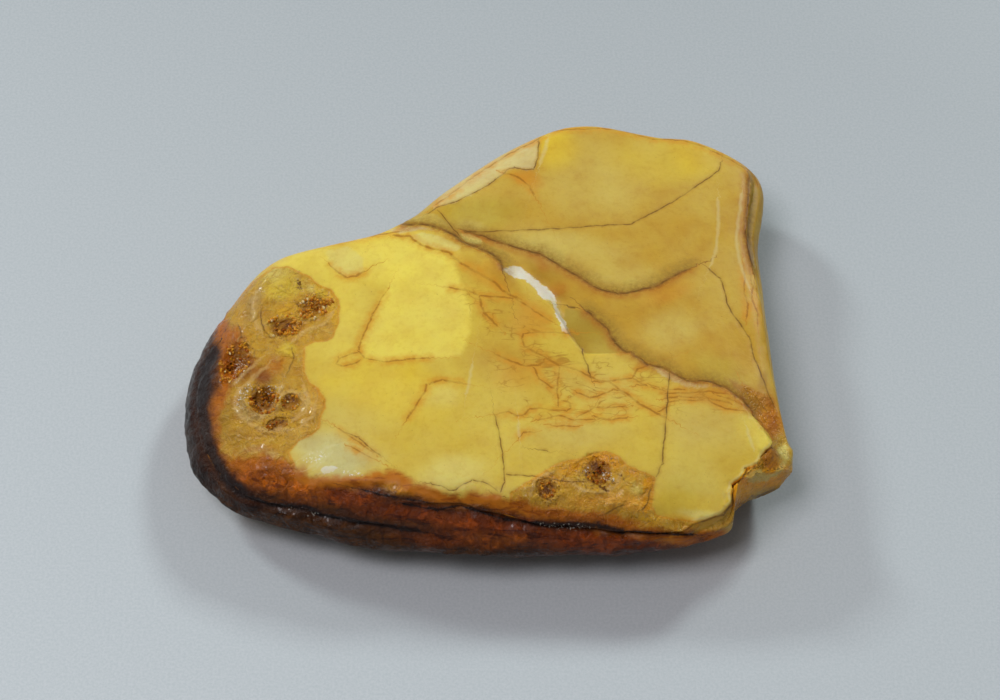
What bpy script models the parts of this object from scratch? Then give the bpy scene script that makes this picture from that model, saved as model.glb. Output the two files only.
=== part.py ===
"""Raw carnelian: a palm-sized broken slab of honey chalcedony that rests on its worn underside.

The stone is one solid. Each hollow in it holds one crust of crystals, which is a solid of its own.
Lengths are in millimetres until a mesh is made, when MM turns them into metres. The plan is drawn from
above: +X runs to the lip at the broken end, +Y to the far side, and z is 0 where the stone rests.
"""

import math
from typing import NamedTuple

import bpy
import numpy as np
from mathutils import Vector, geometry, noise
from mathutils.bvhtree import BVHTree

MM = 0.001

# Driving dimensions, in millimetres.
PLAN_MIDDLE = (-1.74, 4.13)    # the plan point that the model's origin stands under
GRAIN = 1.75                   # spacing of the points that carry the upper face
CLEAR_OF_LINES = 0.55          # share of GRAIN kept free beside the edge of the slab and the hollows
CLEAR_OF_HOLLOWS = 0.3         # least spacing of the points that carry the hollows
CLEAR_OF_ROWS = 0.45           # least spacing of the rows that carry the shoulder
SHOULDER_ROWS = (0.22, 0.55)   # rows of points that carry the shoulder, as shares of its width
UNEVEN = 0.18                  # share of a spacing that a point or crystal may be nudged by
SIDE_STEPS = 2                 # loft columns from one station of the outline to the next
CORE = (0.0, 2.0)              # the plan point that the underside shrinks towards
ROUNDING = 1.8                 # power of the curve from the rim out to the waist
UPPER_LIP = 0.35               # where the two grooves' lips lie between the grooves
LOWER_LIP = 0.65
LOBE_TOP = 0.3                 # how far below the lower groove the lobe is at its full width
UNDERSIDE = ((0.962, 0.62), (0.915, 0.33), (0.865, 0.12), (0.80, 0.035), (0.70, 0.012), (0.58, 0.0))
FACE_ROUGHNESS = 0.05          # height of the low waves on the upper face
FACE_WAVE = 4.0                # length of those waves
SIDE_ROUGHNESS = 0.35          # height of the lumps on the worn sides
SIDE_LUMP = 7.0                # length of those lumps
SHARP_ANGLE = 35.0             # degrees between two facets past which their edge is shaded sharp
CRYSTAL = 0.72                 # width of one crystal in a crust
CRYSTAL_TIP = 0.42             # height of a crystal's point
TIP_RANGE = (0.75, 1.25)       # least and most of that height that a point has
CRUST_THICKNESS = 0.3
CRUST_GAP = 0.3                # clear space under a crust
ABOVE_STONE = 30.0             # a height clear above the stone, to look down from
CRUST_REACH = 0.72             # share of a hollow's radius that its crust covers
HOLLOW_FLOOR = 0.4             # share of a hollow's radius out to which its floor is level
BORDER_AT = 1.15               # where a hollow's raised border stands, in radii
BORDER_WIDTH = 0.2


class Station(NamedTuple):
    """The side of the stone at one place on its outline.

    The rim is where the upper face ends, and the waist is the widest level below it. A groove has its level
    as a share of the drop from rim to waist, and its depth. The shoulder is how far in from the rim the face
    starts to fall, and the power is 2 on a rounded shoulder and 1 on a flat chamfer.
    """

    rim: tuple
    waist: tuple
    upper_groove: tuple = (0.12, 0.0)
    lower_groove: tuple = (0.55, 0.0)
    shoulder: float = 2.5
    power: float = 2.0


# From the rounded left end along the near side to the broken corner of the slab.
NEAR_SIDE = (
    Station((-37.5, -2.5, 10.6), (-40.7, -2.0, 6.6), lower_groove=(0.32, 0.5), shoulder=4.5),
    Station((-38.0, -6.0, 10.3), (-41.0, -5.4, 6.4), lower_groove=(0.31, 0.8), shoulder=5.0),
    Station((-38.0, -10.0, 10.0), (-41.0, -9.4, 6.0), lower_groove=(0.30, 1.0), shoulder=5.5),
    Station((-37.2, -14.0, 9.9), (-40.5, -13.8, 5.8), lower_groove=(0.30, 1.0), shoulder=5.5),
    Station((-35.9, -17.2, 9.9), (-39.3, -17.3, 5.6), lower_groove=(0.30, 1.0), shoulder=5.5),
    Station((-33.9, -19.8, 9.9), (-37.2, -20.1, 5.4), lower_groove=(0.30, 1.0), shoulder=5.5),
    Station((-31.6, -21.8, 9.9), (-34.8, -22.5, 5.2), lower_groove=(0.30, 1.1), shoulder=5.0),
    Station((-28.8, -23.0, 10.1), (-31.4, -24.0, 5.2), lower_groove=(0.32, 1.2), shoulder=4.5),
    Station((-25.6, -23.5, 10.5), (-27.5, -25.2, 5.2), lower_groove=(0.36, 1.2), shoulder=3.6),
    Station((-22.3, -24.2, 10.8), (-23.4, -26.2, 5.2), lower_groove=(0.42, 1.1), shoulder=3.0),
    Station((-18.5, -24.8, 11.2), (-19.0, -27.4, 5.2), lower_groove=(0.48, 1.0), shoulder=2.8),
    Station((-14.3, -25.2, 11.9), (-14.4, -28.6, 5.4), (0.07, 0.3), (0.55, 0.8), shoulder=2.6),
    Station((-9.8, -25.6, 11.9), (-9.8, -29.1, 5.8), (0.08, 0.9), (0.62, 0.7), shoulder=2.6),
    Station((-5.0, -25.4, 11.8), (-5.0, -29.3, 6.0), (0.09, 1.2), (0.68, 0.4), shoulder=2.4),
    Station((0.0, -26.8, 11.1), (0.0, -29.6, 6.1), (0.11, 1.4), (0.72, 0.2), shoulder=3.0),
    Station((5.0, -27.7, 10.5), (5.0, -29.7, 6.2), (0.13, 1.6), (0.66, 0.0), shoulder=4.0),
    Station((10.0, -27.9, 10.3), (10.2, -29.6, 6.2), (0.14, 1.7), (0.62, 0.0), shoulder=4.5),
    Station((15.2, -28.5, 10.0), (15.6, -29.3, 6.2), (0.15, 1.6), (0.60, 0.0), shoulder=4.5),
    Station((19.6, -28.6, 9.9), (20.0, -28.9, 6.3), (0.15, 1.3), (0.60, 0.0), shoulder=4.0),
    Station((22.9, -28.5, 10.0), (23.2, -28.6, 6.4), (0.15, 0.8), (0.60, 0.0), shoulder=3.0),
)
# The lobe under the broken corner, then the lip that stands out past the slab.
BROKEN_END = (
    Station((23.9, -28.4, 8.8), (24.3, -28.3, 6.4), shoulder=1.5),
    Station((26.4, -27.6, 8.7), (27.0, -27.6, 6.3), shoulder=1.5),
    Station((28.8, -26.6, 8.6), (29.3, -26.4, 6.2), shoulder=1.2),
    Station((30.0, -24.9, 8.5), (30.4, -24.7, 6.2), shoulder=1.0),
    Station((30.6, -23.1, 8.5), (31.0, -22.9, 6.2), shoulder=1.0),
    Station((31.9, -21.7, 8.7), (32.2, -21.5, 6.4), (0.3, 0.0), (0.6, 0.0), shoulder=1.0),
    Station((34.0, -20.5, 9.0), (34.3, -20.5, 6.7), shoulder=1.2),
    Station((35.7, -19.6, 9.1), (36.1, -19.8, 7.0), shoulder=1.2),
    Station((36.9, -18.4, 9.3), (37.4, -18.5, 7.2), shoulder=1.2),
    Station((37.1, -16.6, 9.6), (37.7, -16.6, 7.3), shoulder=1.6),
)
# The right side, with the worn bulge that stands out under the rim, then the far side.
RIGHT_SIDE = (
    Station((36.5, -13.4, 10.0), (37.1, -13.2, 7.4), shoulder=2.2),
    Station((35.7, -8.5, 10.9), (36.3, -8.3, 7.4), shoulder=2.5),
    Station((35.0, -2.8, 11.4), (35.7, -2.6, 7.2), shoulder=2.0),
    Station((34.7, 2.2, 11.5), (35.6, 2.2, 7.0), shoulder=1.8),
    Station((34.3, 8.0, 11.5), (35.3, 8.4, 7.0), (0.3, 0.1), shoulder=1.8),
    Station((33.4, 13.5, 11.5), (35.0, 14.0, 7.2), (0.32, 0.6), shoulder=1.8),
    Station((33.2, 17.4, 11.5), (35.1, 17.6, 7.6), (0.34, 1.0), shoulder=1.8),
    Station((33.8, 21.8, 11.5), (35.8, 22.0, 8.0), (0.34, 1.0), shoulder=1.8),
    Station((34.3, 25.6, 11.3), (36.2, 26.0, 8.2), (0.32, 0.7), shoulder=2.0),
    Station((33.9, 28.4, 11.1), (35.6, 29.2, 7.8), (0.28, 0.2), shoulder=2.2),
)
FAR_SIDE = (
    Station((32.2, 30.5, 11.0), (33.6, 31.8, 7.4), shoulder=2.6),
    Station((29.2, 32.4, 11.1), (30.2, 34.0, 7.0), shoulder=2.4),
    Station((25.6, 33.8, 11.4), (26.0, 35.5, 7.0), shoulder=2.0),
    Station((22.0, 34.0, 11.4), (22.0, 35.8, 7.0), shoulder=2.0),
    Station((18.2, 35.0, 11.4), (18.2, 36.8, 7.0), shoulder=2.0),
    Station((13.6, 36.1, 11.4), (13.4, 37.8, 6.8), shoulder=2.0),
    Station((9.0, 35.9, 11.3), (8.2, 37.6, 6.8), shoulder=2.2),
    Station((5.6, 34.6, 11.0), (4.2, 36.3, 6.6), shoulder=2.6, power=1.6),
    Station((2.4, 32.9, 10.5), (0.8, 34.6, 6.6), shoulder=3.2, power=1.1),
    Station((-1.4, 30.2, 10.3), (-3.2, 31.8, 6.6), shoulder=3.4, power=1.0),
    Station((-5.2, 26.6, 10.8), (-7.2, 28.0, 6.8), shoulder=3.0, power=1.1),
    Station((-8.2, 23.0, 11.8), (-10.2, 24.6, 7.0), shoulder=2.2, power=1.5),
)
# The far left side of the slab, back to the rounded left end.
LEFT_SIDE = (
    Station((-10.2, 20.5, 12.2), (-12.2, 22.2, 7.0), shoulder=1.8),
    Station((-12.6, 18.7, 12.5), (-14.4, 20.4, 7.0), shoulder=1.8),
    Station((-15.8, 16.6, 12.7), (-17.2, 18.4, 7.0), shoulder=1.8),
    Station((-20.2, 15.2, 12.7), (-21.2, 17.1, 7.0), shoulder=2.0),
    Station((-24.2, 14.2, 12.5), (-25.4, 16.2, 7.0), shoulder=2.2),
    Station((-28.0, 13.1, 12.2), (-29.6, 14.9, 7.0), shoulder=2.4),
    Station((-31.0, 11.0, 11.9), (-32.8, 12.4, 6.8), shoulder=2.6),
    Station((-33.1, 8.2, 11.6), (-35.0, 9.3, 6.8), shoulder=3.0),
    Station((-34.6, 5.2, 11.3), (-36.8, 6.2, 6.8), shoulder=3.4),
    Station((-35.8, 2.8, 11.1), (-38.3, 3.6, 6.8), shoulder=3.8),
    Station((-36.8, 0.2, 10.9), (-39.7, 0.8, 6.7), (0.12, 0.0), (0.35, 0.3), shoulder=4.2),
)
STATIONS = NEAR_SIDE + BROKEN_END + RIGHT_SIDE + FAR_SIDE + LEFT_SIDE
SLAB_END = len(NEAR_SIDE) - 1                       # the last station whose rim is the slab's own
FIRST_SLAB_RETURN = len(STATIONS) - len(LEFT_SIDE)  # the slab's rim starts again here

# The free edge of the slab: each pair is a point of its upper edge and of the foot below it.
SLAB_EDGE = (
    ((-12.0, 17.2), (-12.0, 17.2)),
    ((-9.5, 16.8), (-9.3, 17.2)),
    ((-6.5, 15.5), (-6.2, 16.0)),
    ((-4.5, 13.8), (-4.1, 14.3)),
    ((-1.6, 12.2), (-1.1, 12.9)),
    ((0.2, 10.4), (0.5, 11.6)),
    ((0.8, 9.1), (1.6, 11.1)),
    ((1.9, 8.3), (2.9, 10.6)),
    ((3.5, 7.5), (4.2, 9.5)),
    ((4.8, 6.2), (5.6, 8.1)),
    ((5.3, 5.1), (6.8, 6.7)),
    ((6.4, 4.1), (7.5, 5.0)),
    ((7.4, 2.2), (8.1, 3.0)),
    ((8.3, 0.6), (8.8, 1.0)),
    ((8.9, -1.1), (9.4, -0.7)),
    ((10.2, -2.9), (10.6, -2.4)),
    ((11.0, -4.0), (11.3, -3.4)),
    ((13.2, -4.1), (13.2, -3.6)),
    ((15.4, -4.0), (15.6, -3.5)),
    ((17.0, -3.9), (17.3, -3.4)),
    ((19.0, -5.7), (19.3, -5.2)),
    ((22.0, -7.0), (22.3, -6.5)),
    ((24.0, -8.2), (24.2, -7.7)),
    ((27.0, -8.5), (27.2, -8.0)),
    ((29.0, -9.5), (29.3, -9.0)),
    ((31.0, -11.1), (31.5, -10.8)),
    ((32.2, -13.6), (32.7, -13.4)),
    ((33.1, -15.1), (33.6, -15.0)),
    ((34.4, -17.2), (34.9, -17.2)),
    ((34.0, -17.9), (34.5, -18.2)),
    ((33.3, -18.5), (33.7, -18.9)),
    ((32.8, -19.8), (33.2, -20.2)),
    ((31.9, -20.5), (32.1, -20.9)),
    ((30.9, -20.9), (31.3, -21.3)),
    ((30.2, -22.1), (30.6, -22.4)),
    ((29.2, -22.9), (29.6, -23.2)),
    ((29.1, -25.0), (29.5, -25.1)),
    ((28.4, -25.8), (28.7, -26.1)),
    ((27.4, -26.6), (27.6, -26.9)),
    ((25.2, -27.1), (25.3, -27.5)),
)

# Heights of the two layers' upper faces, away from the rim.
SLAB_HEIGHTS = (
    (-13.0, 16.5, 13.5), (-30.0, 6.0, 13.1), (-33.0, -1.0, 12.8), (-33.0, -12.0, 12.6), (-30.0, -18.0, 12.3),
    (-22.0, -20.0, 13.1), (-20.0, 2.0, 13.9), (-8.0, 3.0, 14.2), (-5.0, 12.0, 13.8), (3.0, 7.0, 13.9),
    (0.0, -10.0, 14.1), (0.0, -21.0, 13.7), (12.0, -8.0, 14.0), (12.0, -20.0, 13.8), (22.0, -14.0, 13.9),
    (24.0, -22.0, 12.9), (33.0, -16.0, 13.5), (30.0, -21.0, 12.9), (28.5, -24.5, 11.9), (27.0, -26.6, 11.0),
    (23.0, -27.4, 10.7), (20.0, -25.0, 12.6),
)
LEDGE_HEIGHTS = (
    (-12.0, 17.5, 13.4), (-7.0, 18.0, 13.1), (0.0, 18.0, 12.9), (3.0, 11.0, 12.7), (8.0, 4.0, 12.6),
    (12.0, 0.0, 12.4), (17.0, -3.0, 12.6), (24.0, -7.5, 12.5), (29.0, -9.0, 12.2), (32.0, -12.0, 11.2),
    (34.3, -14.5, 10.4), (35.4, -17.0, 9.8), (33.6, -19.6, 8.9), (35.4, -18.6, 9.7), (31.6, -21.4, 8.8),
    (30.0, -23.6, 8.7), (29.0, -26.0, 8.7), (24.5, -27.7, 9.0), (10.0, 20.0, 12.5), (20.0, 14.0, 12.3),
    (28.0, 10.0, 12.1), (31.0, 3.0, 12.1), (30.0, 20.0, 12.0), (10.0, 32.0, 12.1), (25.0, 30.0, 11.9),
    (32.5, -4.0, 11.9), (0.0, 26.0, 12.6), (25.0, 0.0, 12.4),
)


class Hollow(NamedTuple):
    """An open pit: its middle in plan, its half widths, its turn in degrees, its depth and its raised border."""

    middle: tuple
    half: tuple
    turn: float
    depth: float
    border: float

    def in_plan(self, x, y):
        """The plan point at x, y on the hollow's own axes."""
        cos, sin = math.cos(math.radians(self.turn)), math.sin(math.radians(self.turn))
        return (self.middle[0] + x * cos - y * sin, self.middle[1] + x * sin + y * cos)


HOLLOWS = {
    "druse_upper_right_vug": Hollow((-24.3, 3.9), (2.1, 1.8), 20.0, 1.8, 0.15),
    "druse_upper_left_vug": Hollow((-28.3, 0.9), (2.0, 1.8), 30.0, 2.0, 0.15),
    "druse_rim_vug": Hollow((-34.4, -4.2), (2.1, 3.2), -12.0, 2.2, 0.1),
    "druse_middle_vug": Hollow((-30.3, -10.5), (2.1, 2.4), -25.0, 2.4, 0.3),
    "druse_round_vug": Hollow((-26.8, -11.1), (1.5, 1.5), 0.0, 1.5, 0.25),
    "druse_lower_vug": Hollow((-28.4, -14.3), (1.8, 1.2), 10.0, 1.4, 0.25),
    "druse_front_vug": Hollow((12.3, -21.4), (2.1, 2.4), 10.0, 1.9, 0.1),
    "druse_small_front_vug": Hollow((5.8, -24.1), (1.5, 1.4), 0.0, 1.5, 0.1),
}
SWELLING_TOP = 0.2             # share of a swelling's radius that is at its full rise
HOLLOW_RINGS = ((1.25, 18), (1.0, 16), (0.78, 14), (0.55, 10), (0.28, 6))


class Swelling(NamedTuple):
    """A lump, or a dent where the rise is negative, that fades out at its half widths."""

    middle: tuple
    half: tuple
    turn: float
    rise: float


SWELLINGS = (
    Swelling((-26.6, 3.0), (5.6, 6.8), 12.0, -0.55),     # wide basin of the upper hollows
    Swelling((-28.9, -11.8), (5.4, 6.0), -10.0, -0.45),  # wide basin of the middle hollows
    Swelling((11.0, -22.4), (9.0, 3.4), -4.0, -0.4),     # wide basin of the near hollows
    Swelling((-23.6, -12.0), (2.4, 5.0), -8.0, 0.35),    # knobbly border right of the middle hollows
    Swelling((-23.0, 1.5), (2.2, 3.6), 10.0, 0.25),      # the same border by the upper hollows
    Swelling((-33.2, -8.6), (3.6, 1.2), 38.0, 0.6),      # ridge between the rim hollow and the middle one
    Swelling((-31.8, -12.0), (1.1, 3.6), -12.0, 0.35),   # pale ridge round the middle hollow
    Swelling((-31.0, 4.5), (2.0, 4.5), -18.0, 0.35),     # banded wall left of the upper hollows
    Swelling((-30.5, -18.5), (5.0, 2.4), -25.0, 0.3),    # worn knuckle of the near left corner
    Swelling((-18.5, -23.6), (4.5, 0.9), 0.0, -0.55),    # scar under the white chip
    Swelling((-21.5, -21.6), (3.4, 1.2), -20.0, 0.2),    # white chip
    Swelling((19.0, -24.6), (0.9, 2.6), 8.0, -0.5),      # slot beside the near hollows
    Swelling((9.0, -25.4), (7.5, 1.6), -6.0, -0.25),     # worn step under the near hollows
    Swelling((34.2, -19.7), (1.6, 1.2), 15.0, -0.5),     # hollow of the lip
    Swelling((35.0, 0.0), (3.0, 12.0), 0.0, 0.15),       # banded right margin
)


def thin_plate(samples):
    """A smooth height over the plan that passes through every (x, y, z) of the samples."""
    points = np.array(samples, float)
    count = len(points)

    def kernel(a, b):
        squared = ((a[:, None] - b[None]) ** 2).sum(-1)
        return squared * np.log(squared + 1e-12) / 2

    system = np.zeros((count + 3, count + 3))
    flat = np.column_stack([np.ones(count), points[:, :2]])
    system[:count, :count] = kernel(points[:, :2], points[:, :2])
    system[:count, count:] = flat
    system[count:, :count] = flat.T
    weights = np.linalg.solve(system, np.append(points[:, 2], np.zeros(3)))

    def height(plan):
        bend = kernel(plan, points[:, :2]) @ weights[:count]
        return bend + weights[count] + plan @ weights[count + 1 :]

    return height


def round_the_outline(values):
    """Closed Catmull-Rom curve through one row of values per station, with SIDE_STEPS rows to a station."""
    before, here = np.roll(values, 1, axis=0), values
    after, beyond = np.roll(values, -1, axis=0), np.roll(values, -2, axis=0)
    rows = []
    for step in range(SIDE_STEPS):
        t = step / SIDE_STEPS
        rows.append(
            0.5 * (2 * here + (after - before) * t
                   + (2 * before - 5 * here + 4 * after - beyond) * t ** 2
                   + (3 * here - before - 3 * after + beyond) * t ** 3)
        )
    return np.stack(rows, axis=1).reshape(len(values) * SIDE_STEPS, -1)


def outward(loop):
    """Unit normals in plan of a closed loop that runs anticlockwise."""
    along = np.roll(loop, -1, axis=0) - np.roll(loop, 1, axis=0)
    normal = np.column_stack([along[:, 1], -along[:, 0]])
    return normal / np.linalg.norm(normal, axis=1, keepdims=True)


def lumps(points, wavelength, seed):
    """Smooth noise from -1 to 1 at each point."""
    shift = Vector((seed * 17.3, seed * 5.9, seed * 11.1))
    return np.array([noise.noise(Vector(point) / wavelength + shift) for point in points])


def side_loops():
    """Closed loops from the rim down to the flat underside, and each rim column's shoulder and power."""
    rim = round_the_outline(np.array([s.rim for s in STATIONS]))
    waist = round_the_outline(np.array([s.waist for s in STATIONS]))
    upper = round_the_outline(np.array([s.upper_groove for s in STATIONS]))
    lower = round_the_outline(np.array([s.lower_groove for s in STATIONS]))
    shoulder = round_the_outline(np.array([(s.shoulder, s.power) for s in STATIONS]))
    between = lower[:, 0] - upper[:, 0]
    levels = (
        (upper[:, 0], upper[:, 1]),
        (upper[:, 0] + UPPER_LIP * between, 0),
        (upper[:, 0] + LOWER_LIP * between, 0),
        (lower[:, 0], lower[:, 1]),
        (lower[:, 0] + LOBE_TOP * (1 - lower[:, 0]), 0),
        (np.ones(len(rim)), 0),
    )
    normal = outward(waist[:, :2])
    loops = [rim]
    for level, depth in levels:
        reach = 1 - (1 - level) ** ROUNDING
        loop = np.empty_like(rim)
        loop[:, :2] = rim[:, :2] + (waist - rim)[:, :2] * reach[:, None]
        loop[:, 2] = rim[:, 2] + (waist - rim)[:, 2] * level
        push = SIDE_ROUGHNESS * lumps(loop, SIDE_LUMP, 1) * np.minimum(level * 3, 1) - depth
        loop[:, :2] += normal * push[:, None]
        loops.append(loop)
    for scale, level in UNDERSIDE:
        loop = np.empty_like(waist)
        loop[:, :2] = CORE + (waist[:, :2] - CORE) * scale
        loop[:, 2] = waist[:, 2] * level
        if level:
            loop[:, :2] += normal * (SIDE_ROUGHNESS * lumps(loop, SIDE_LUMP, 1))[:, None]
            loop[:, 2] *= 1 + SIDE_ROUGHNESS * lumps(loop, SIDE_LUMP, 2)
        loops.append(loop)
    return loops, shoulder


def in_half_widths(plan, middle, half, turn):
    """Distance of plan points from the middle of an ellipse: 0 in the middle, 1 on the ellipse."""
    angle = math.radians(turn)
    offset = plan - np.array(middle)
    along = offset @ (math.cos(angle), math.sin(angle)) / half[0]
    across = offset @ (-math.sin(angle), math.cos(angle)) / half[1]
    return np.hypot(along, across)


def smooth_step(value, start, end):
    t = np.clip((value - start) / (end - start), 0, 1)
    return t * t * (3 - 2 * t)


def fall_to_rim(plan, rim, shoulder):
    """For each plan point: the rim height nearest to it, and how far along the shoulder's fall it is."""
    starts, ends = rim[:-1], rim[1:]
    along = (ends - starts)[:, :2]
    share = ((plan[:, None] - starts[None, :, :2]) * along).sum(-1) / (along ** 2).sum(-1)
    share = np.clip(share, 0, 1)
    nearest = starts[None, :, :2] + share[..., None] * along
    distance = np.linalg.norm(plan[:, None] - nearest, axis=-1)
    best = distance.argmin(axis=1)
    rows = np.arange(len(plan))
    t = share[rows, best]
    rim_height = starts[best, 2] * (1 - t) + ends[best, 2] * t
    width = shoulder[best, 0] * (1 - t) + shoulder[best + 1, 0] * t
    power = shoulder[best, 1] * (1 - t) + shoulder[best + 1, 1] * t
    fall = np.clip(1 - distance[rows, best] / width, 0, 1) ** power
    return rim_height, fall


class UpperFace:
    """The height of the upper face anywhere in plan, on the slab or on the ledge beside it."""

    def __init__(self, rim, shoulder):
        slab_end = SLAB_END * SIDE_STEPS
        slab_return = FIRST_SLAB_RETURN * SIDE_STEPS
        slab_columns = list(range(slab_return, len(rim))) + list(range(slab_end + 1))
        ledge_columns = list(range(slab_end + SIDE_STEPS, slab_return + 1))
        self.slab = thin_plate(SLAB_HEIGHTS)
        self.ledge = thin_plate(LEDGE_HEIGHTS)
        self.slab_rim = rim[slab_columns], shoulder[slab_columns]
        self.ledge_rim = rim[ledge_columns], shoulder[ledge_columns]

    def height(self, plan, on_slab):
        heights = np.empty(len(plan))
        for chosen, layer, rim in (
            (on_slab, self.slab, self.slab_rim),
            (~on_slab, self.ledge, self.ledge_rim),
        ):
            if chosen.any():
                level = layer(plan[chosen])
                rim_height, fall = fall_to_rim(plan[chosen], *rim)
                heights[chosen] = level - (level - rim_height) * fall
        for hollow in HOLLOWS.values():
            away = in_half_widths(plan, hollow.middle, hollow.half, hollow.turn)
            heights -= hollow.depth * (1 - smooth_step(away, HOLLOW_FLOOR, 1.0))
            heights += hollow.border * np.exp(-((away - BORDER_AT) / BORDER_WIDTH) ** 2)
        for swelling in SWELLINGS:
            away = in_half_widths(plan, swelling.middle, swelling.half, swelling.turn)
            heights += swelling.rise * (1 - smooth_step(away, SWELLING_TOP, 1.0))
        spots = np.column_stack([plan, np.zeros(len(plan))])
        return heights + FACE_ROUGHNESS * lumps(spots, FACE_WAVE, 3)


def inside(plan, polygon):
    """Whether each plan point is inside the polygon, by counting edges crossed."""
    crossed = np.zeros(len(plan), bool)
    for (x1, y1), (x2, y2) in zip(polygon, np.roll(polygon, -1, axis=0)):
        spans = (y1 > plan[:, 1]) != (y2 > plan[:, 1])
        rise = y2 - y1 if y2 != y1 else 1.0
        crossed ^= spans & (plan[:, 0] < x1 + (plan[:, 1] - y1) * (x2 - x1) / rise)
    return crossed


def hollow_points():
    """Rings of plan points that carry each hollow's wall, and its middle."""
    points = []
    for hollow in HOLLOWS.values():
        points.append(hollow.middle)
        for share, count in HOLLOW_RINGS:
            for i in range(count):
                around = 2 * math.pi * (i + share) / count
                x = hollow.half[0] * share * math.cos(around)
                y = hollow.half[1] * share * math.sin(around)
                points.append(hollow.in_plan(x, y))
    return thinned(np.array(points), CLEAR_OF_HOLLOWS)


def thinned(points, least):
    """The points with any that lies closer than the least distance to an earlier one left out."""
    kept = []
    for point in points:
        if all(math.dist(point, other) > least for other in kept):
            kept.append(tuple(point))
    return np.array(kept)


def scattered(rim):
    """Triangular lattice of plan points inside the rim, each nudged by a seeded amount."""
    nudge = np.random.default_rng(7)
    low, high = rim.min(axis=0), rim.max(axis=0)
    points = []
    for row, y in enumerate(np.arange(low[1], high[1], GRAIN * math.sqrt(3) / 2)):
        for x in np.arange(low[0] + row % 2 * GRAIN / 2, high[0], GRAIN):
            points.append((x, y) + nudge.uniform(-UNEVEN, UNEVEN, 2) * GRAIN)
    return np.array(points)


def shoulder_points(rim, shoulder, slab):
    """Rows of plan points that follow the rim on each layer, so that the shoulder falls evenly."""
    columns = np.arange(len(rim))
    on_slab_rim = (columns <= SLAB_END * SIDE_STEPS) | (columns >= FIRST_SLAB_RETURN * SIDE_STEPS)
    inward = -outward(rim[:, :2])
    rows = []
    for share in SHOULDER_ROWS:
        row = rim[:, :2] + inward * share * shoulder[:, :1]
        rows.append(row[inside(row, rim[:, :2]) & (inside(row, slab) == on_slab_rim)])
    return thinned(np.concatenate(rows), CLEAR_OF_ROWS)


def clear_of(points, others, least):
    distance = np.linalg.norm(points[:, None] - others[None], axis=-1)
    return points[distance.min(axis=1) > least]


def filled_in(line):
    """A line's points with more between them, so that none are further apart than about GRAIN."""
    points = [line[0]]
    for start, end in zip(line[:-1], line[1:]):
        steps = max(1, round(math.dist(start, end) / GRAIN))
        points += [start + (end - start) * i / steps for i in range(1, steps + 1)]
    return np.array(points)


def upper_face(rim, shoulder):
    """(points, triangles) of the upper face. The first points are the rim's."""
    edge = np.array([pair[0] for pair in SLAB_EDGE])
    foot = np.array([pair[1] for pair in SLAB_EDGE])[1:]
    slab_corner, lobe_corner = SLAB_END * SIDE_STEPS, (SLAB_END + 1) * SIDE_STEPS
    slab_return = FIRST_SLAB_RETURN * SIDE_STEPS
    slab = np.concatenate([edge, rim[slab_corner::-1, :2], rim[:slab_return - 1 : -1, :2]])
    strip = np.concatenate([edge, rim[slab_corner:lobe_corner + 1, :2], foot[::-1]])
    edge, foot = filled_in(edge), filled_in(foot)
    lines = np.concatenate([rim[:, :2], edge, foot])
    hollows = clear_of(hollow_points(), lines, CLEAR_OF_HOLLOWS)
    rows = shoulder_points(rim, shoulder, slab)
    rows = clear_of(rows[~inside(rows, strip)], np.concatenate([lines, hollows]), CLEAR_OF_ROWS)
    lines = np.concatenate([lines, rows])
    spread = scattered(rim[:, :2])
    spread = spread[inside(spread, rim[:, :2]) & ~inside(spread, strip)]
    spread = clear_of(spread, np.concatenate([lines, hollows]), CLEAR_OF_LINES * GRAIN)
    plan = np.concatenate([rim[:, :2], edge, foot, hollows, rows, spread])

    first_edge, first_foot = len(rim), len(rim) + len(edge)
    first_hollow = first_foot + len(foot)
    edge_run = list(range(first_edge, first_foot)) + [slab_corner]
    foot_run = [first_edge] + list(range(first_foot, first_hollow)) + [lobe_corner]
    rim_run = list(range(len(rim))) + [0]
    bounds = [step for run in (rim_run, edge_run, foot_run) for step in zip(run[:-1], run[1:])]
    triangles, order = geometry.delaunay_2d_cdt([Vector(point) for point in plan], bounds, [], 0, 1e-6)[2:4]
    if len(order) != len(plan):
        raise ValueError("two lines of the upper face cross")
    faces = np.array([[order[corner][0] for corner in triangle] for triangle in triangles])
    faces = faces[inside(plan[faces].mean(axis=1), rim[:, :2])]

    on_slab = inside(plan, slab)
    on_slab[first_edge:first_foot] = True
    on_slab[first_foot:first_hollow] = False
    heights = UpperFace(rim, shoulder).height(plan, on_slab)
    heights[: len(rim)] = rim[:, 2]
    return np.column_stack([plan, heights]), faces.tolist()


def placed(points):
    """Drawn points in metres, with the origin under the middle of the stone."""
    return (np.array(points) - (*PLAN_MIDDLE, 0.0)) * MM


def new_object(name, points, faces, material):
    mesh = bpy.data.meshes.new(name)
    mesh.from_pydata([tuple(point) for point in placed(points)], [], faces)
    mesh.materials.append(material)
    mesh.shade_smooth()
    mesh.set_sharp_from_angle(angle=math.radians(SHARP_ANGLE))
    obj = bpy.data.objects.new(name, mesh)
    bpy.context.collection.objects.link(obj)
    return obj


def principled(name, colour, roughness, subsurface):
    material = bpy.data.materials.new(name)
    material.use_nodes = True
    shader = material.node_tree.nodes["Principled BSDF"]
    shader.inputs["Base Color"].default_value = (*colour, 1.0)
    shader.inputs["Roughness"].default_value = roughness
    shader.inputs["Subsurface Weight"].default_value = subsurface
    shader.inputs["Subsurface Scale"].default_value = 2 * MM
    material.diffuse_color = (*colour, 1.0)
    return material


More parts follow.
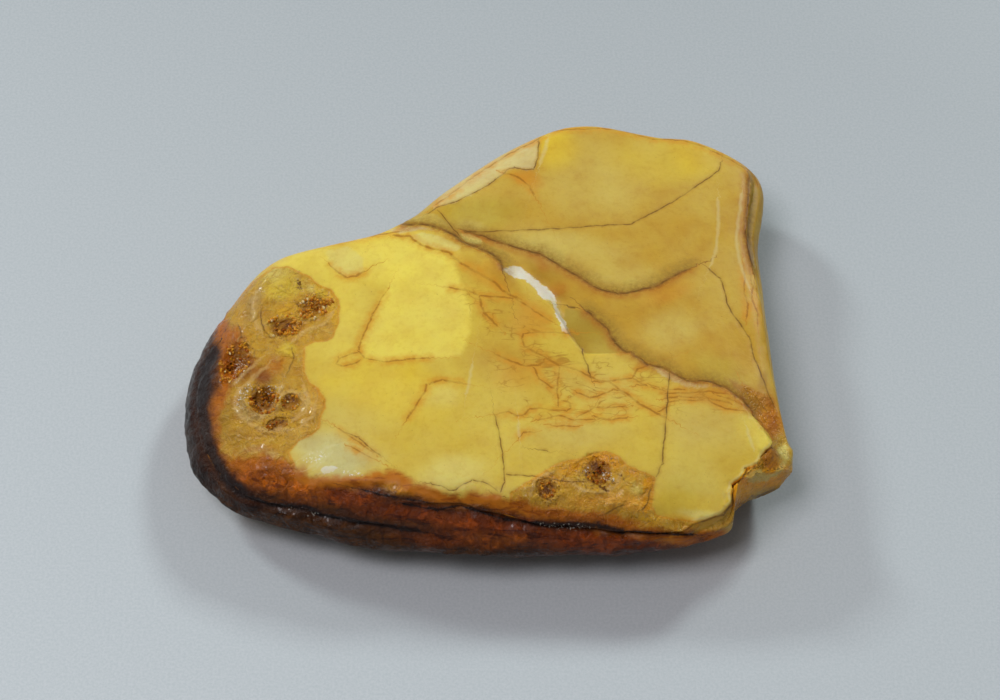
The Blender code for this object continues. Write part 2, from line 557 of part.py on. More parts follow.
def stone():
    """The whole body: upper face, grooved sides and underside as one closed surface."""
    loops, shoulder = side_loops()
    points, faces = upper_face(loops[0], shoulder)
    columns = len(loops[0])
    above = list(range(columns))
    for loop in loops[1:]:
        below = list(range(len(points), len(points) + columns))
        points = np.concatenate([points, loop])
        for i in range(columns):
            j = (i + 1) % columns
            faces.append([above[i], below[i], above[j]])
            faces.append([above[j], below[i], below[j]])
        above = below
    faces.append(above[::-1])
    return new_object("stone", points, faces, principled("chalcedony", (0.60, 0.40, 0.10), 0.35, 0.3))


def hexagon_cells(hollow):
    """Middles of the hexagons whose middle is inside the crust's outline, on the hollow's own axes."""
    reach = [CRUST_REACH * half for half in hollow.half]
    rows = math.ceil(reach[1] / CRYSTAL) + 1
    cells = []
    for row in range(-rows, rows + 1):
        for column in range(-rows - 3, rows + 4):
            x = (column + row % 2 / 2) * CRYSTAL
            y = row * CRYSTAL * math.sqrt(3) / 2
            if math.hypot(x / reach[0], y / reach[1]) < 1:
                cells.append((x, y))
    return cells


def crust(name, hollow, floor, material):
    """One closed crust of pointed crystals that follows the floor of a hollow, CRUST_GAP above it."""
    nudge = np.random.default_rng(len(name))
    corners, crystals = {}, []
    for x, y in hexagon_cells(hollow):
        ring = []
        for k in range(6):
            around = math.pi / 3 * k + math.pi / 6
            radius = CRYSTAL / math.sqrt(3)
            corner = (round(x + radius * math.cos(around), 3), round(y + radius * math.sin(around), 3))
            corners.setdefault(corner, len(corners))
            ring.append(corners[corner])
        crystals.append(((x, y), ring))

    def floor_under(x, y):
        above = placed([(x, y, ABOVE_STONE)])[0]
        return floor.ray_cast(Vector(above), Vector((0, 0, -1)))[0].z / MM

    base, top = [], []
    for corner in corners:
        x, y = hollow.in_plan(*corner + nudge.uniform(-UNEVEN, UNEVEN, 2) * CRYSTAL)
        low = floor_under(x, y) + CRUST_GAP
        base.append((x, y, low))
        top.append((x, y, low + CRUST_THICKNESS))
    count = len(corners)
    points = base + top
    faces = []
    used = {}
    for middle, ring in crystals:
        x, y = hollow.in_plan(*middle + nudge.uniform(-UNEVEN, UNEVEN, 2) * CRYSTAL)
        foot = np.mean([top[i][2] for i in ring])
        points.append((x, y, foot + CRYSTAL_TIP * nudge.uniform(*TIP_RANGE)))
        for a, b in zip(ring, ring[1:] + ring[:1]):
            faces.append([count + a, count + b, len(points) - 1])
            used[a, b] = True
        faces.append(ring[::-1])
    for a, b in used:
        if (b, a) not in used:
            faces.append([a, b, count + b, count + a])
    return new_object(name, points, faces, material)


def build():
    for obj in list(bpy.data.objects):
        bpy.data.objects.remove(obj)
    body = stone()
    floor = BVHTree.FromObject(body, bpy.context.evaluated_depsgraph_get())
    amber = principled("amber_crystal", (0.32, 0.13, 0.03), 0.15, 0.1)
    for name, hollow in HOLLOWS.items():
        crust(name, hollow, floor, amber)


build()
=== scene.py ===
"""Raw carnelian, dressed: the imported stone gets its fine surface, its veins, its rind and its druse.

Plan points are drawn in millimetres, as in the part's source: +X runs to the lip at the broken end and
+Y to the far side. A plan point names the place where the line of sight from the photograph's camera
crosses the level of the slab's top, so that what lies lower, such as the grooved side, is drawn by the
same rule as the face. What the camera can't see is finished with the stone's own skin.
"""

import math
from typing import NamedTuple

import bmesh
import bpy
import numpy as np
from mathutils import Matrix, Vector, noise


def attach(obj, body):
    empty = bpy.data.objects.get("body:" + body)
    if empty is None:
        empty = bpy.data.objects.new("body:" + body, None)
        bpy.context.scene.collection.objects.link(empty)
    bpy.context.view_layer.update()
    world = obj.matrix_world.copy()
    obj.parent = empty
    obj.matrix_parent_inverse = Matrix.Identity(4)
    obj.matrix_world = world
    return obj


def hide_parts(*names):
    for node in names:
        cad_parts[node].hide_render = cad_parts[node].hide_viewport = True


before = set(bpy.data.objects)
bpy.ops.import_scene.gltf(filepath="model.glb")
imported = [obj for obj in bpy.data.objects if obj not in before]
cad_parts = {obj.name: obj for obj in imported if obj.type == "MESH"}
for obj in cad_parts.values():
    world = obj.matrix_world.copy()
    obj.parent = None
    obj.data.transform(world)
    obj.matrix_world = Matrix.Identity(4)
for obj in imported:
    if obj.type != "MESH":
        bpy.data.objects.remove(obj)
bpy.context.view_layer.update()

MM = 0.001
DRAWN_ORIGIN = np.array([-1.74, 4.13, 0.0])   # where the frame's origin stands on the drawing
SIGHT = np.array([0.0, -209.64, 308.40])      # the photograph's camera, on the drawing
SIGHT_LEVEL = 14.0                            # height of the slab's top, where plan points are read
CAMERA_PITCH = 35.0                           # degrees the camera is tilted up from straight down
LENS = 100.0

# The fine surface, in millimetres.
WELD = 0.002                    # points closer than this are one
CREASE_ANGLE = 42.0             # degrees between two facets past which their edge stays sharp
SUBDIVISIONS = 2
ALONG_THE_SIDE = (0.3, 1.0, 1.0)              # shares that stretch the rind's lumps along the near side
BREAKS = (                      # where the broken edge is reshaped: middle, reach, shift, lowest height moved
    ((29.0, -26.0), 3.4, (0.4, -0.2), 12.0),
    ((25.0, -30.0), 3.0, (0.3, -0.6), 12.0),
    ((31.6, -24.4), 3.0, (-0.6, 0.7), 0.0),
)
BREAK_TEETH = 0.4
LEDGE_MIDDLE = (33.0, -21.5)    # the break's ledge beside the slab
LEDGE_REACH = 6.5
LEDGE_TOP = 12.8                # its height against the slab's edge
LEDGE_FALL = 1.15               # and how fast it falls away from it
VUG_RIM = (1.15, 1.5)           # where a vug's rim is, in half widths

CRYSTAL_SPACING = 0.26
CRYSTAL_WIDTHS = (0.16, 0.36)
# the nearly white crystals are painted glints
SPARKLING = 0.02                # share of the crystals that are nearly white
CRYSTAL_SHADES = (              # ink, and where its share of the crystals' tints starts and is full
    ("brown_crystal", 0.1, 0.4), ("amber_crystal", 0.4, 0.75), ("pale_glint_crystal", 0.9, 0.97),
)
QUARTZ_IOR = 1.54
LINE_FADE = 0.07                # least width over which a line's edge fades

FLOOR_HALF = 4.0                # metres
FLOOR_INKS = ("floor_dark", "floor_light")
# the floor is painted darker along this direction, as shade
FLOOR_SHADE_FALL = (0.47, 0.88, 0.0)  # the direction in which the floor is a little darker
WORLD_COLOUR = (1.0, 0.985, 1.0, 1.0)
WORLD_STRENGTH = 0.17


class Lamp(NamedTuple):
    """A square soft light aimed at the stone: its place and width in metres, its watts and its colour."""

    place: tuple
    width: float
    power: float
    colour: tuple


LAMPS = {
    "left_lamp": Lamp((-0.88, 0.78, 0.75), 0.22, 7.4, (0.9, 0.99, 0.98)),
    "right_lamp": Lamp((0.64, 0.90, 0.86), 0.22, 7.4, (0.9, 0.99, 0.98)),
    "overhead": Lamp((-0.37, -0.2, 1.02), 0.5, 5.5, (1.0, 0.945, 0.975)),
}
PALETTE = {                     # the stone's colours as seen on a screen, from 0 to 255
    "honey": (212, 184, 72),
    "lemon": (234, 215, 94),
    "butter": (222, 208, 118),
    "gold": (224, 194, 60),
    "straw": (206, 181, 90),
    "ochre": (196, 157, 56),
    "olive": (188, 160, 52),
    # painted shadow beside the slab's edge
    "moss": (172, 146, 54),
    "mist": (202, 194, 134),
    "orange": (206, 142, 40),
    "saffron": (220, 168, 44),
    "apricot": (228, 162, 56),
    "marigold": (222, 150, 20),
    "flame": (252, 172, 10),
    "caramel": (194, 146, 44),
    "dun": (172, 138, 80),
    "rose": (172, 112, 56),
    "peach": (208, 158, 60),
    "amber": (178, 98, 14),
    "tan": (188, 138, 50),
    "shell": (208, 172, 106),
    "mustard": (168, 124, 32),
    "brick": (172, 84, 38),
    "rust": (172, 92, 20),
    "umber": (134, 62, 16),
    "bark": (78, 47, 16),
    "soot": (42, 25, 22),
    "cream": (214, 204, 150),
    "white": (226, 222, 204),
}
INKS = {                        # colours of thin marks, crystals and the floor, as seen on a screen
    "crack": (158, 104, 22),
    "stain": (146, 94, 18),
    # painted shade beside the seams
    "shade_above_seam": (146, 114, 42),
    "below_seam": (170, 104, 26),
    "beside_seam": (124, 80, 30),
    "seam_and_shadow_line": (98, 68, 22),
    "beside_vein": (166, 116, 40),
    "vein_and_shadow_line": (102, 70, 20),
    "pit": (92, 48, 16),
    "grit": (92, 46, 14),
    # painted shade on the hollows' floors
    "vug_floor_shade": (128, 64, 14),
    # painted shade beside and in the crevices
    "shade_beside_groove": (70, 34, 10),
    "shaded_groove": (24, 13, 12),
    "speck": (120, 78, 30),
    "dark_crystal": (48, 26, 8),
    "brown_crystal": (156, 88, 16),
    "amber_crystal": (226, 156, 44),
    # nearly white, painted as glints
    "pale_glint_crystal": (244, 216, 160),
    "red_crystal": (176, 70, 16),
    "floor_dark": (185, 193, 197),
    "floor_light": (196, 202, 206),
}
TINTS = {                       # what a colour is multiplied by
    "mottle": (0.84, 0.72, 0.5),
    # painted shade for the dips of the bump relief
    "dip_shade": (0.78, 0.58, 0.34),
    "grain": (0.66, 0.48, 0.26),
    "cut": (0.66, 0.5, 0.3),
    "dark": (0.42, 0.36, 0.34),
    "glow": (1.8, 1.75, 1.3),
    "crease": (0.3, 0.22, 0.22),
    "rind_grain": (0.6, 0.5, 0.45),
    # painted shade towards the floor
    "low": (0.5, 0.5, 0.5),
    "streak": (0.5, 0.36, 0.25),
    # painted shade on the floor
    "floor": (0.78, 0.78, 0.78),
}
GLOSS = 0.006                   # white that the surface's gloss adds to every colour


def srgb(red, green, blue):
    """A colour seen on a screen as the linear light that a shader takes."""
    return tuple(
        value / 12.92 if value <= 0.04045 else ((value + 0.055) / 1.055) ** 2.4
        for value in (red / 255, green / 255, blue / 255)
    )


def ink(name):
    return srgb(*INKS[name])


def paint(name):
    """A palette colour as the stone's own, without the white that its gloss adds."""
    return tuple(max(value - GLOSS, 0.002) for value in srgb(*PALETTE[name]))


# ---------------------------------------------------------------- the drawing


class Patch(NamedTuple):
    """A soft-edged stain of one palette colour: an ellipse, turned by some degrees."""

    middle: tuple
    half: tuple
    turn: float
    colour: str
    strength: float


SLAB_PATCHES = (
    Patch((-15, 11.5), (10, 5), 15, "gold", 0.9),
    Patch((-26, 10), (6, 4), 30, "lemon", 0.6),
    Patch((-14, 12), (11, 6), 12, "lemon", 0.9),
    Patch((-21, 1), (4.5, 11), 0, "lemon", 0.55),
    Patch((-14, -9.5), (10, 6.5), -10, "gold", 0.9),
    Patch((-20, -14.5), (6, 4), -20, "straw", 0.7),
    Patch((-21, -19.5), (7.5, 4), -14, "mist", 0.95),
    Patch((-23.4, -18.2), (2, 1.6), -14, "dun", 0.35),
    Patch((-25.1, -22), (1.2, 1.4), 0, "rust", 0.85),
    Patch((-7.5, -10.5), (3, 2.5), 0, "butter", 0.45),
    Patch((-6, -22.5), (5.5, 3.5), 10, "butter", 0.8),
    Patch((1, -5), (7.5, 6), -20, "ochre", 0.75),
    Patch((2, 3), (6, 6), -30, "ochre", 0.75),
    Patch((-2, 9), (5.5, 2.6), -38, "orange", 0.5),
    Patch((0.5, 7.6), (3.6, 1.6), -40, "mustard", 0.45),
    Patch((4, 1.5), (3.4, 4), 30, "orange", 0.5),
    Patch((2, -8), (4, 3), 0, "orange", 0.4),
    Patch((-3.7, 11.2), (2.1, 1.4), -30, "ochre", 0.7),
    Patch((12, -9), (9, 4.5), -12, "straw", 0.6),
    Patch((10, -16.5), (9, 3.2), 0, "straw", 0.85),
    Patch((13, -6), (5, 2.2), -10, "honey", 0.8),
    Patch((26, -15.5), (7.5, 5.5), 0, "straw", 0.9),
    Patch((24, -23), (5, 5), 0, "butter", 0.35),
    Patch((25.5, -10.8), (6, 1.6), -6, "amber", 0.45),
    Patch((23, -27), (6, 2.4), -10, "gold", 0.5),
    Patch((22.5, -29.4), (5.5, 1.3), -4, "saffron", 0.6),
    Patch((24.8, -28.4), (3.4, 0.8), -6, "butter", 0.85),
    Patch((28, -27.2), (0.8, 1.6), -20, "gold", 0.8),
    Patch((33, -17), (2.5, 4), 30, "lemon", 0.7),
)
PLATE_PATCHES = (
    Patch((12, 24), (9, 9), 0, "straw", 0.75),
    Patch((7.5, 30.5), (4, 5.5), 0, "gold", 0.7),
    Patch((22, 28), (9.5, 5.5), -8, "honey", 0.9),
    Patch((26.5, 28), (4, 4), 0, "gold", 0.5),
    Patch((-3, 19), (7.5, 4), 0, "olive", 0.95),
    Patch((8, 13), (12, 3.8), -4, "straw", 0.95),
    Patch((15, 8.6), (7.5, 3.2), -5, "straw", 0.7),
    Patch((22, -0.5), (5.5, 4), 25, "straw", 0.85),
    Patch((22, 5.8), (5, 2.2), 20, "orange", 0.45),
    Patch((28, -6.5), (5.5, 3), -30, "olive", 0.7),
    Patch((5.5, 9.6), (4.6, 2), -38, "mustard", 0.8),
    Patch((4.8, 11), (3, 1), -38, "amber", 0.6),
    Patch((-4, 15), (4, 1.4), -20, "amber", 0.5),
    Patch((2.5, 12.4), (3.5, 1.8), -30, "ochre", 0.8),
    Patch((4, 24.8), (2.2, 2.6), 20, "orange", 0.7),
    Patch((33.4, -13), (3.2, 5.5), 18, "rust", 0.6),
    Patch((35.2, -14), (0.9, 4), 12, "orange", 0.8),
    Patch((8.1, 5.1), (1.9, 1.1), -25, "mustard", 0.6),
    Patch((7.9, 6.1), (1.7, 1.2), -30, "amber", 0.5),
    Patch((-4, 16.9), (2.3, 1.2), -12, "straw", 0.7),
    Patch((33.9, -8.2), (0.8, 2.2), -15, "umber", 0.45),
    Patch((14.6, 11.9), (3.4, 1.2), -10, "straw", 0.4),
    Patch((33, -18.5), (3, 3), 0, "mustard", 0.9),
    Patch((30.5, -24), (2.6, 5), -20, "flame", 0.95),
    Patch((34, -23), (4, 2), 28, "flame", 0.95),
    Patch((35.4, -22.9), (1.2, 1.4), 20, "marigold", 0.8),
    Patch((27, -29.5), (4.5, 2.4), 30, "caramel", 0.95),
    Patch((29.9, -26.8), (1.6, 1.4), 30, "rust", 0.6),
    Patch((25, -32), (5, 1.2), 12, "rust", 0.9),
)
SKIN_PATCHES = (
    Patch((-30.7, -22.5), (5.2, 2.5), -24, "rust", 0.95),
    Patch((-25, -24), (6, 3), -5, "rust", 0.95),
    Patch((-18.7, -25.7), (5.7, 2), -6, "umber", 0.9),
    Patch((-12.5, -24.3), (3.4, 1.6), -12, "orange", 0.85),
    Patch((-11.2, -28.1), (9.1, 1.9), -5, "umber", 0.9),
    Patch((-6.2, -31.9), (9.1, 2.2), -3, "umber", 0.55),
    Patch((0, -29.8), (10.4, 1.9), -3, "umber", 0.95),
    Patch((12.3, -32.1), (14.3, 2.8), 0, "umber", 0.9),
    Patch((-5.6, -25.9), (6, 1.2), -8, "amber", 0.95),
    Patch((3.1, -27.5), (7, 1.4), -10, "amber", 0.95),
    Patch((0, -32.1), (5.2, 1.1), 0, "rust", 0.5),
    Patch((-24.6, -26.3), (3.4, 1.1), 8, "rust", 0.6),
    Patch((-38.8, -11.3), (2.3, 11.9), 0, "soot", 0.97),
    Patch((-36.9, -21.9), (2.3, 5.6), 20, "soot", 0.85),
    Patch((-31.6, -27.1), (3.1, 1.4), -28, "soot", 0.9),
)
AGATE_PATCHES = (
    Patch((-29, 7.8), (4.4, 4.4), 0, "honey", 0.7),
    Patch((-29.6, 8.9), (1.7, 1.6), 0, "butter", 0.6),
    Patch((-23.4, 5.8), (1.6, 3.1), 0, "gold", 0.6),
    Patch((-28.5, 6.4), (3.6, 2.3), 10, "gold", 0.55),
    Patch((-21.7, 3.2), (1.2, 4.4), 0, "saffron", 0.9),
    Patch((-23.9, 7.1), (1.8, 1.4), -30, "saffron", 0.6),
    Patch((-24.8, 6.6), (1, 0.8), 0, "butter", 0.6),
    Patch((-22.3, -0.8), (1.7, 1.4), 0, "peach", 0.9),
    Patch((-32.2, 3.8), (0.9, 4.1), -12, "dun", 0.85),
    Patch((-33.4, 1.6), (0.6, 2.8), -30, "caramel", 0.6),
    Patch((-28.2, 2.6), (1.9, 1.6), 15, "saffron", 0.75),
    Patch((-25.6, -1.6), (2.6, 0.8), 0, "peach", 0.6),
    Patch((-27.4, -3.8), (1.4, 1.7), 0, "gold", 0.75),
    Patch((-34.2, -2.2), (1.9, 2.3), 0, "brick", 0.85),
    Patch((-32.5, -5.1), (1.2, 1.4), 0, "rust", 0.7),
    Patch((-24.8, -5.4), (1.2, 3.4), 0, "peach", 0.9),
    Patch((-34.4, -7), (1.7, 3), -12, "mustard", 0.9),
    Patch((-36.8, -7), (1, 3.1), 0, "soot", 0.9),
    Patch((-30.4, -7.3), (1.7, 1.4), -20, "rust", 0.8),
    Patch((-23.5, -11), (1.3, 3.1), 0, "peach", 0.95),
    Patch((-22.9, -11), (0.4, 2.5), 0, "orange", 0.8),
    Patch((-24.9, -15.9), (2.3, 1.2), 30, "peach", 0.8),
    Patch((-34.8, -15), (1.3, 3.4), -8, "mustard", 0.9),
    Patch((-30.7, -16.2), (3.4, 1.2), -5, "tan", 0.7),
    Patch((-30.9, -18.8), (3.6, 0.9), 5, "rose", 0.9),
    Patch((-33.2, -20.7), (2.6, 1.1), -24, "orange", 0.7),
    Patch((-26.1, -19.4), (0.9, 1.1), 0, "gold", 0.9),
    Patch((-29.9, -21.6), (4.4, 1.2), -8, "rust", 0.75),
    Patch((-33.1, -6.3), (2.5, 3), -20, "umber", 1),
    Patch((-30.3, -7.7), (1.7, 1.9), 0, "umber", 0.95),
    Patch((-34.9, -12.5), (1.3, 2.5), 0, "mustard", 0.85),
    Patch((-32.9, -17.4), (2.1, 2), 0, "mustard", 0.7),
    Patch((-25.4, -21.9), (1.9, 1.7), 10, "umber", 0.8),
    Patch((-28.7, -6), (1.4, 2), 0, "amber", 0.8),
    Patch((-35.9, -0.3), (1.2, 1.9), -35, "umber", 0.7),
    Patch((-33.9, -0.8), (1.2, 1.4), -30, "rust", 0.6),
    Patch((-34.1, -11.3), (1, 1.4), 0, "rust", 0.45),
    Patch((-26, 0), (1.6, 1.4), 30, "rust", 0.5),
    Patch((-24, -11), (1, 3.4), 0, "peach", 0.8),
    Patch((13, -20.5), (3.4, 1.6), 0, "marigold", 1),
    Patch((17.5, -25.4), (2.1, 1.2), 0, "honey", 0.6),
    Patch((8.9, -21.2), (2.2, 1.2), 10, "marigold", 0.7),
    Patch((16.6, -22.2), (1.8, 0.9), -25, "marigold", 0.7),
    Patch((12.5, -26.3), (5.2, 1.3), 0, "apricot", 0.7),
    Patch((5.6, -23.2), (3.4, 1.2), 0, "apricot", 0.8),
    Patch((16.9, -26.6), (2.6, 1.6), 0, "apricot", 0.85),
    Patch((7, -26.3), (2.9, 1.1), -6, "peach", 0.7),
    Patch((11.3, -23.1), (2.1, 1.6), 0, "ochre", 0.8),
    Patch((17.2, -24.9), (0.6, 1.2), 0, "butter", 0.5),
    Patch((12.4, -28.8), (7.8, 0.9), -6, "amber", 0.95),
    Patch((19.2, -29), (2.1, 0.8), -6, "saffron", 0.9),
)
COLOUR_FIELDS = {
    "slab_colour": ("honey", SLAB_PATCHES),
    "plate_colour": ("ochre", PLATE_PATCHES),
    "skin_colour": ("bark", SKIN_PATCHES),
    "agate_colour": ("caramel", AGATE_PATCHES),
}


class Zone(NamedTuple):
    """An area with its own colour: how soft its border is and how far small noise pushes it about."""

    colour: str
    soft: float
    ragged: float
    strength: float
    outline: tuple


SLAB_EDGE = (                   # from its far end round the break to the near side
    (-13, 17), (-10, 17), (-8, 16.3), (-6.3, 15.4), (-5, 14), (-3, 13.3), (-1, 12), (0, 11), (0.3, 9.7),
    (1, 10), (2, 10.1), (3, 9.6), (6.8, 5.8), (7.2, 5), (7.9, 2.2), (8.5, 0.8), (9, -1), (10, -2.3),
    (11, -4), (17.1, -4), (19, -5.8), (21, -6.3), (24, -8.3), (27, -8.5), (29, -9.5), (31, -11.2),
    (31.8, -12.5), (32.2, -13.8), (33.8, -16), (34.5, -17.6), (34.2, -18.3), (33.5, -18.9), (32.3, -21),
    (30.9, -21.6), (30.2, -23), (29, -24), (28.8, -25), (28.9, -26.7), (27.5, -28.3), (24.5, -29.4),
    (23, -30.4), (21.5, -30.8),
)
FAR_EDGE = SLAB_EDGE[:9]
WHITE_EDGE = SLAB_EDGE[8:17]
LOW_EDGE = SLAB_EDGE[19:27]
BROKEN_EDGE = SLAB_EDGE[30:41]
PLATE = SLAB_EDGE + ((21.5, -38), (48, -38), (48, 42), (-20, 42))
SKIN_LINE = (
    (-35.1, -2.7), (-34.6, -4.8), (-34.6, -9.4), (-35.1, -11.3), (-36.1, -12.8), (-36.2, -15),
    (-35.2, -18.9), (-34, -20.7), (-34.5, -20.2), (-31, -20.2), (-29, -19.8), (-27, -20.5), (-24.5, -22.6),
    (-23, -23), (-17, -23), (-15.5, -22.3), (-13, -22.2), (-11.5, -22.7), (-10.3, -24), (-7, -25.6),
    (-4.5, -25.8), (-3, -25.2), (-1.5, -25.4), (5, -27.3), (22, -31.2), (27.5, -30.8),
)
SKIN = SKIN_LINE + ((30, -40), (-48, -40), (-48, 3), (-36, 3))
WINDOW_EDGE = ((-15.2, 5.4), (-16.6, 2.2), (-18, -2), (-18.3, -3.6), (-17.5, -4.8), (-15, -5.3), (-12, -4.9),
               (-9.2, -4.8))
FLAKE_EDGE = ((-22.3, 10), (-21.3, 8.9), (-20.2, 8.2), (-19, 8.4), (-18, 9.1))
CHAMFER_CRACK = ((5.3, 31), (5.2, 28.5), (4.5, 26.4), (3.5, 26.3), (2, 26.7), (1, 26.3), (-1, 24.2),
                 (-3, 22.7), (-6, 20.8), (-8, 20.1))
ZONES = {
    "window": Zone(
        "lemon", 0.45, 0.3, 0.8,
        WINDOW_EDGE + (
            (-5, -4.4), (-3.9, -1), (-3.8, 3), (-5, 7), (-6.3, 11), (-8.5, 12.4), (-12, 11), (-14, 9))),
    "flake": Zone(
        "butter", 0.3, 0.2, 0.75,
        ((-23.2, 12.6),) + FLAKE_EDGE + ((-18.2, 11.5), (-20, 13.3))),
    "island": Zone(
        "butter", 0.15, 0.2, 0.95,
        ((-12, 15), (-10.4, 15.6), (-8.4, 15.2), (-6.6, 14.3), (-5.1, 13.2), (-5.8, 12.4), (-7, 12.5),
         (-10.2, 13.8))),
    "islet": Zone(
        "butter", 0.15, 0.15, 0.9,
        ((-5.6, 15.5), (-4, 15.3), (-2.6, 14.6), (-2.3, 13.7), (-3.4, 13.7), (-4.6, 14.2))),
    "bruise": Zone(
        "brick", 0.5, 0.8, 0.55,
        ((29.3, -7.9), (34.9, -11), (35.6, -16.2), (34.5, -17.4), (30.1, -9.9))),
    "lip_hollow": Zone(
        "rust", 0.35, 0.5, 0.6,
        ((33.4, -18.9), (34.4, -18.2), (35.1, -18.5), (35.2, -19.8), (34.8, -21.2), (33.8, -21.9),
         (33.1, -21.5), (32.9, -20.4))),
    "lip_ridge": Zone(
        "butter", 0.25, 0.6, 0.7,
        ((36.1, -20.6), (35.7, -21.9), (33.6, -23.4), (31.2, -23.8), (30.8, -23.1), (31.1, -22.2),
         (32, -21.9), (32.9, -22), (33.4, -22.6), (34.3, -22.3), (35.1, -21.5), (35.5, -20.4))),
    "lip_pale": Zone(
        "butter", 0.3, 0.5, 1,
        ((35.1, -18.5), (35.9, -18), (36.4, -18.3), (36.5, -20.3), (35.9, -20.7), (35.1, -19.4))),
    "bulge": Zone(
        "mustard", 0.2, 0.2, 0.5,
        ((34.9, 24.9), (35.1, 22), (33.9, 11.4), (34.9, 10.7), (36.6, 21.1), (36, 25.2))),
    "edge_chip": Zone(
        "cream", 0.15, 0.2, 0.9,
        ((-15, 16), (-13, 16.7), (-10.6, 16.6), (-8.6, 16), (-10.4, 16.1), (-13.6, 15.5))),
    "far_island": Zone(
        "straw", 0.2, 0.2, 0.8,
        ((-12.4, 17.6), (-10, 18.9), (-8.6, 18.8), (-6.6, 16.6), (-8.2, 17.1))),
    "chamfer": Zone(
        "cream", 0.3, 0.5, 0.7,
        ((-9, 19.4), (-8, 21.8), (-3, 27), (2, 31), (5.4, 33)) + CHAMFER_CRACK),
    # olive painted as the shadow that the slab casts on the recessed floor beside its edge
    "shaded_facet": Zone(
        "moss", 0.2, 0.1, 0.85,
        ((8.8, -0.6), (11, -4.1), (16.6, -4), (12.6, 1.4), (10.6, 2.8), (8.6, 3.2), (8.3, 1))),
    "white_break": Zone(
        "white", 0.12, 0.4, 0.95,
        WHITE_EDGE + (
            (8.2, -0.5), (7.5, 1.6), (6.8, 4.2), (5.8, 4.6), (5, 5.4), (4.8, 6.2), (3.5, 7.6), (1.5, 8.4))),
    "chip": Zone(
        "white", 0.08, 0.2, 0.8,
        ((-22.7, -21.9), (-22, -21.3), (-21, -21.2), (-20.3, -21.6), (-20.9, -22.2), (-22, -22.5))),
    "low_white_break": Zone(
        "cream", 0.15, 0.5, 0.85,
        ((19.6, -5.9), (21, -6.5), (24, -8.5), (28, -9.2), (26, -9.4), (23.6, -9.2), (20.4, -7.2))),
}
AGATE_ZONES = {
    "crescent": Zone(
        "dun", 0.3, 0.4, 0.85,
        ((-32.1, -8.8), (-33.2, -10.2), (-33.8, -13), (-33.2, -14.2), (-32, -14.7), (-30.5, -14.4),
         (-28.1, -12.2), (-28.6, -11.9), (-31.1, -13.1), (-32.1, -12.8), (-32.7, -11.6))),
    "slot": Zone(
        "marigold", 0.2, 0.7, 0.8,
        ((17.9, -23.4), (18.8, -22.8), (19.3, -23.4), (18.5, -28.1), (17.7, -28.1), (17.7, -26.3),
         (18.1, -24.9))),
    "knuckle": Zone(
        "cream", 0.3, 0.5, 0.3,
        ((-29.7, -19.7), (-29.3, -19.1), (-28.4, -19.1), (-27.7, -19.7), (-28.2, -20.1), (-29.2, -20.1))),
}
AGATES = {                      # the rough stone round the vugs
    "left_agate": (
        (-30, 9.9), (-28, 10), (-25, 8.3), (-24.1, 7.3), (-22.3, 6.2), (-21.2, 4.8), (-20.9, 3.5),
        (-20.9, 0.7), (-21.7, -1.5), (-22.7, -2.1), (-24, -2.2), (-25.3, -3), (-25.1, -7), (-24.4, -8.5),
        (-23.2, -9.6), (-22.3, -11.2), (-22.2, -12.4), (-22.9, -14.4), (-22.8, -15.6), (-23.7, -16.6),
        (-25.4, -17.5), (-26.6, -19.4), (-25.8, -21), (-25.6, -24), (-42, -24), (-42, 2), (-35.6, 3),
        (-32.8, 7.1),
    ),
    "front_agate": (
        (1.4, -25.2), (7, -21), (10.6, -20), (12, -19.3), (13.4, -19.1), (14.8, -19.7), (16.2, -21.3),
        (19.5, -22.9), (18.9, -27), (19.4, -28.5), (25, -29.7), (24, -31), (18, -31.4), (10, -30), (3, -28),
        (1.2, -27),
    ),
}
BREAK = (                       # the broken end beyond the slab
    (29.9, -9.4), (31.4, -8.7), (35.1, -10.4), (36.9, -18.2), (37.3, -21.9), (36.3, -24.7), (30.5, -28.1),
    (29.5, -29.8), (24.6, -33.3), (23.3, -30.7), (26.5, -29.2), (29, -26.5), (30.2, -23.4), (34.5, -17.7),
)
CRAZED = (                      # where the slab has its net of cracks
    (-7, 7), (-3, 8), (0, 6.5), (11, -5), (16, -5), (28, -9.8), (31.5, -13), (8, -16), (0, -14.6), (-2, -3),
)


class Line(NamedTuple):
    """A thin mark along a run of plan points, with half its width."""

    width: float
    points: tuple


def shifted(points, x, y):
    return tuple((px + x, py + y) for px, py in points)
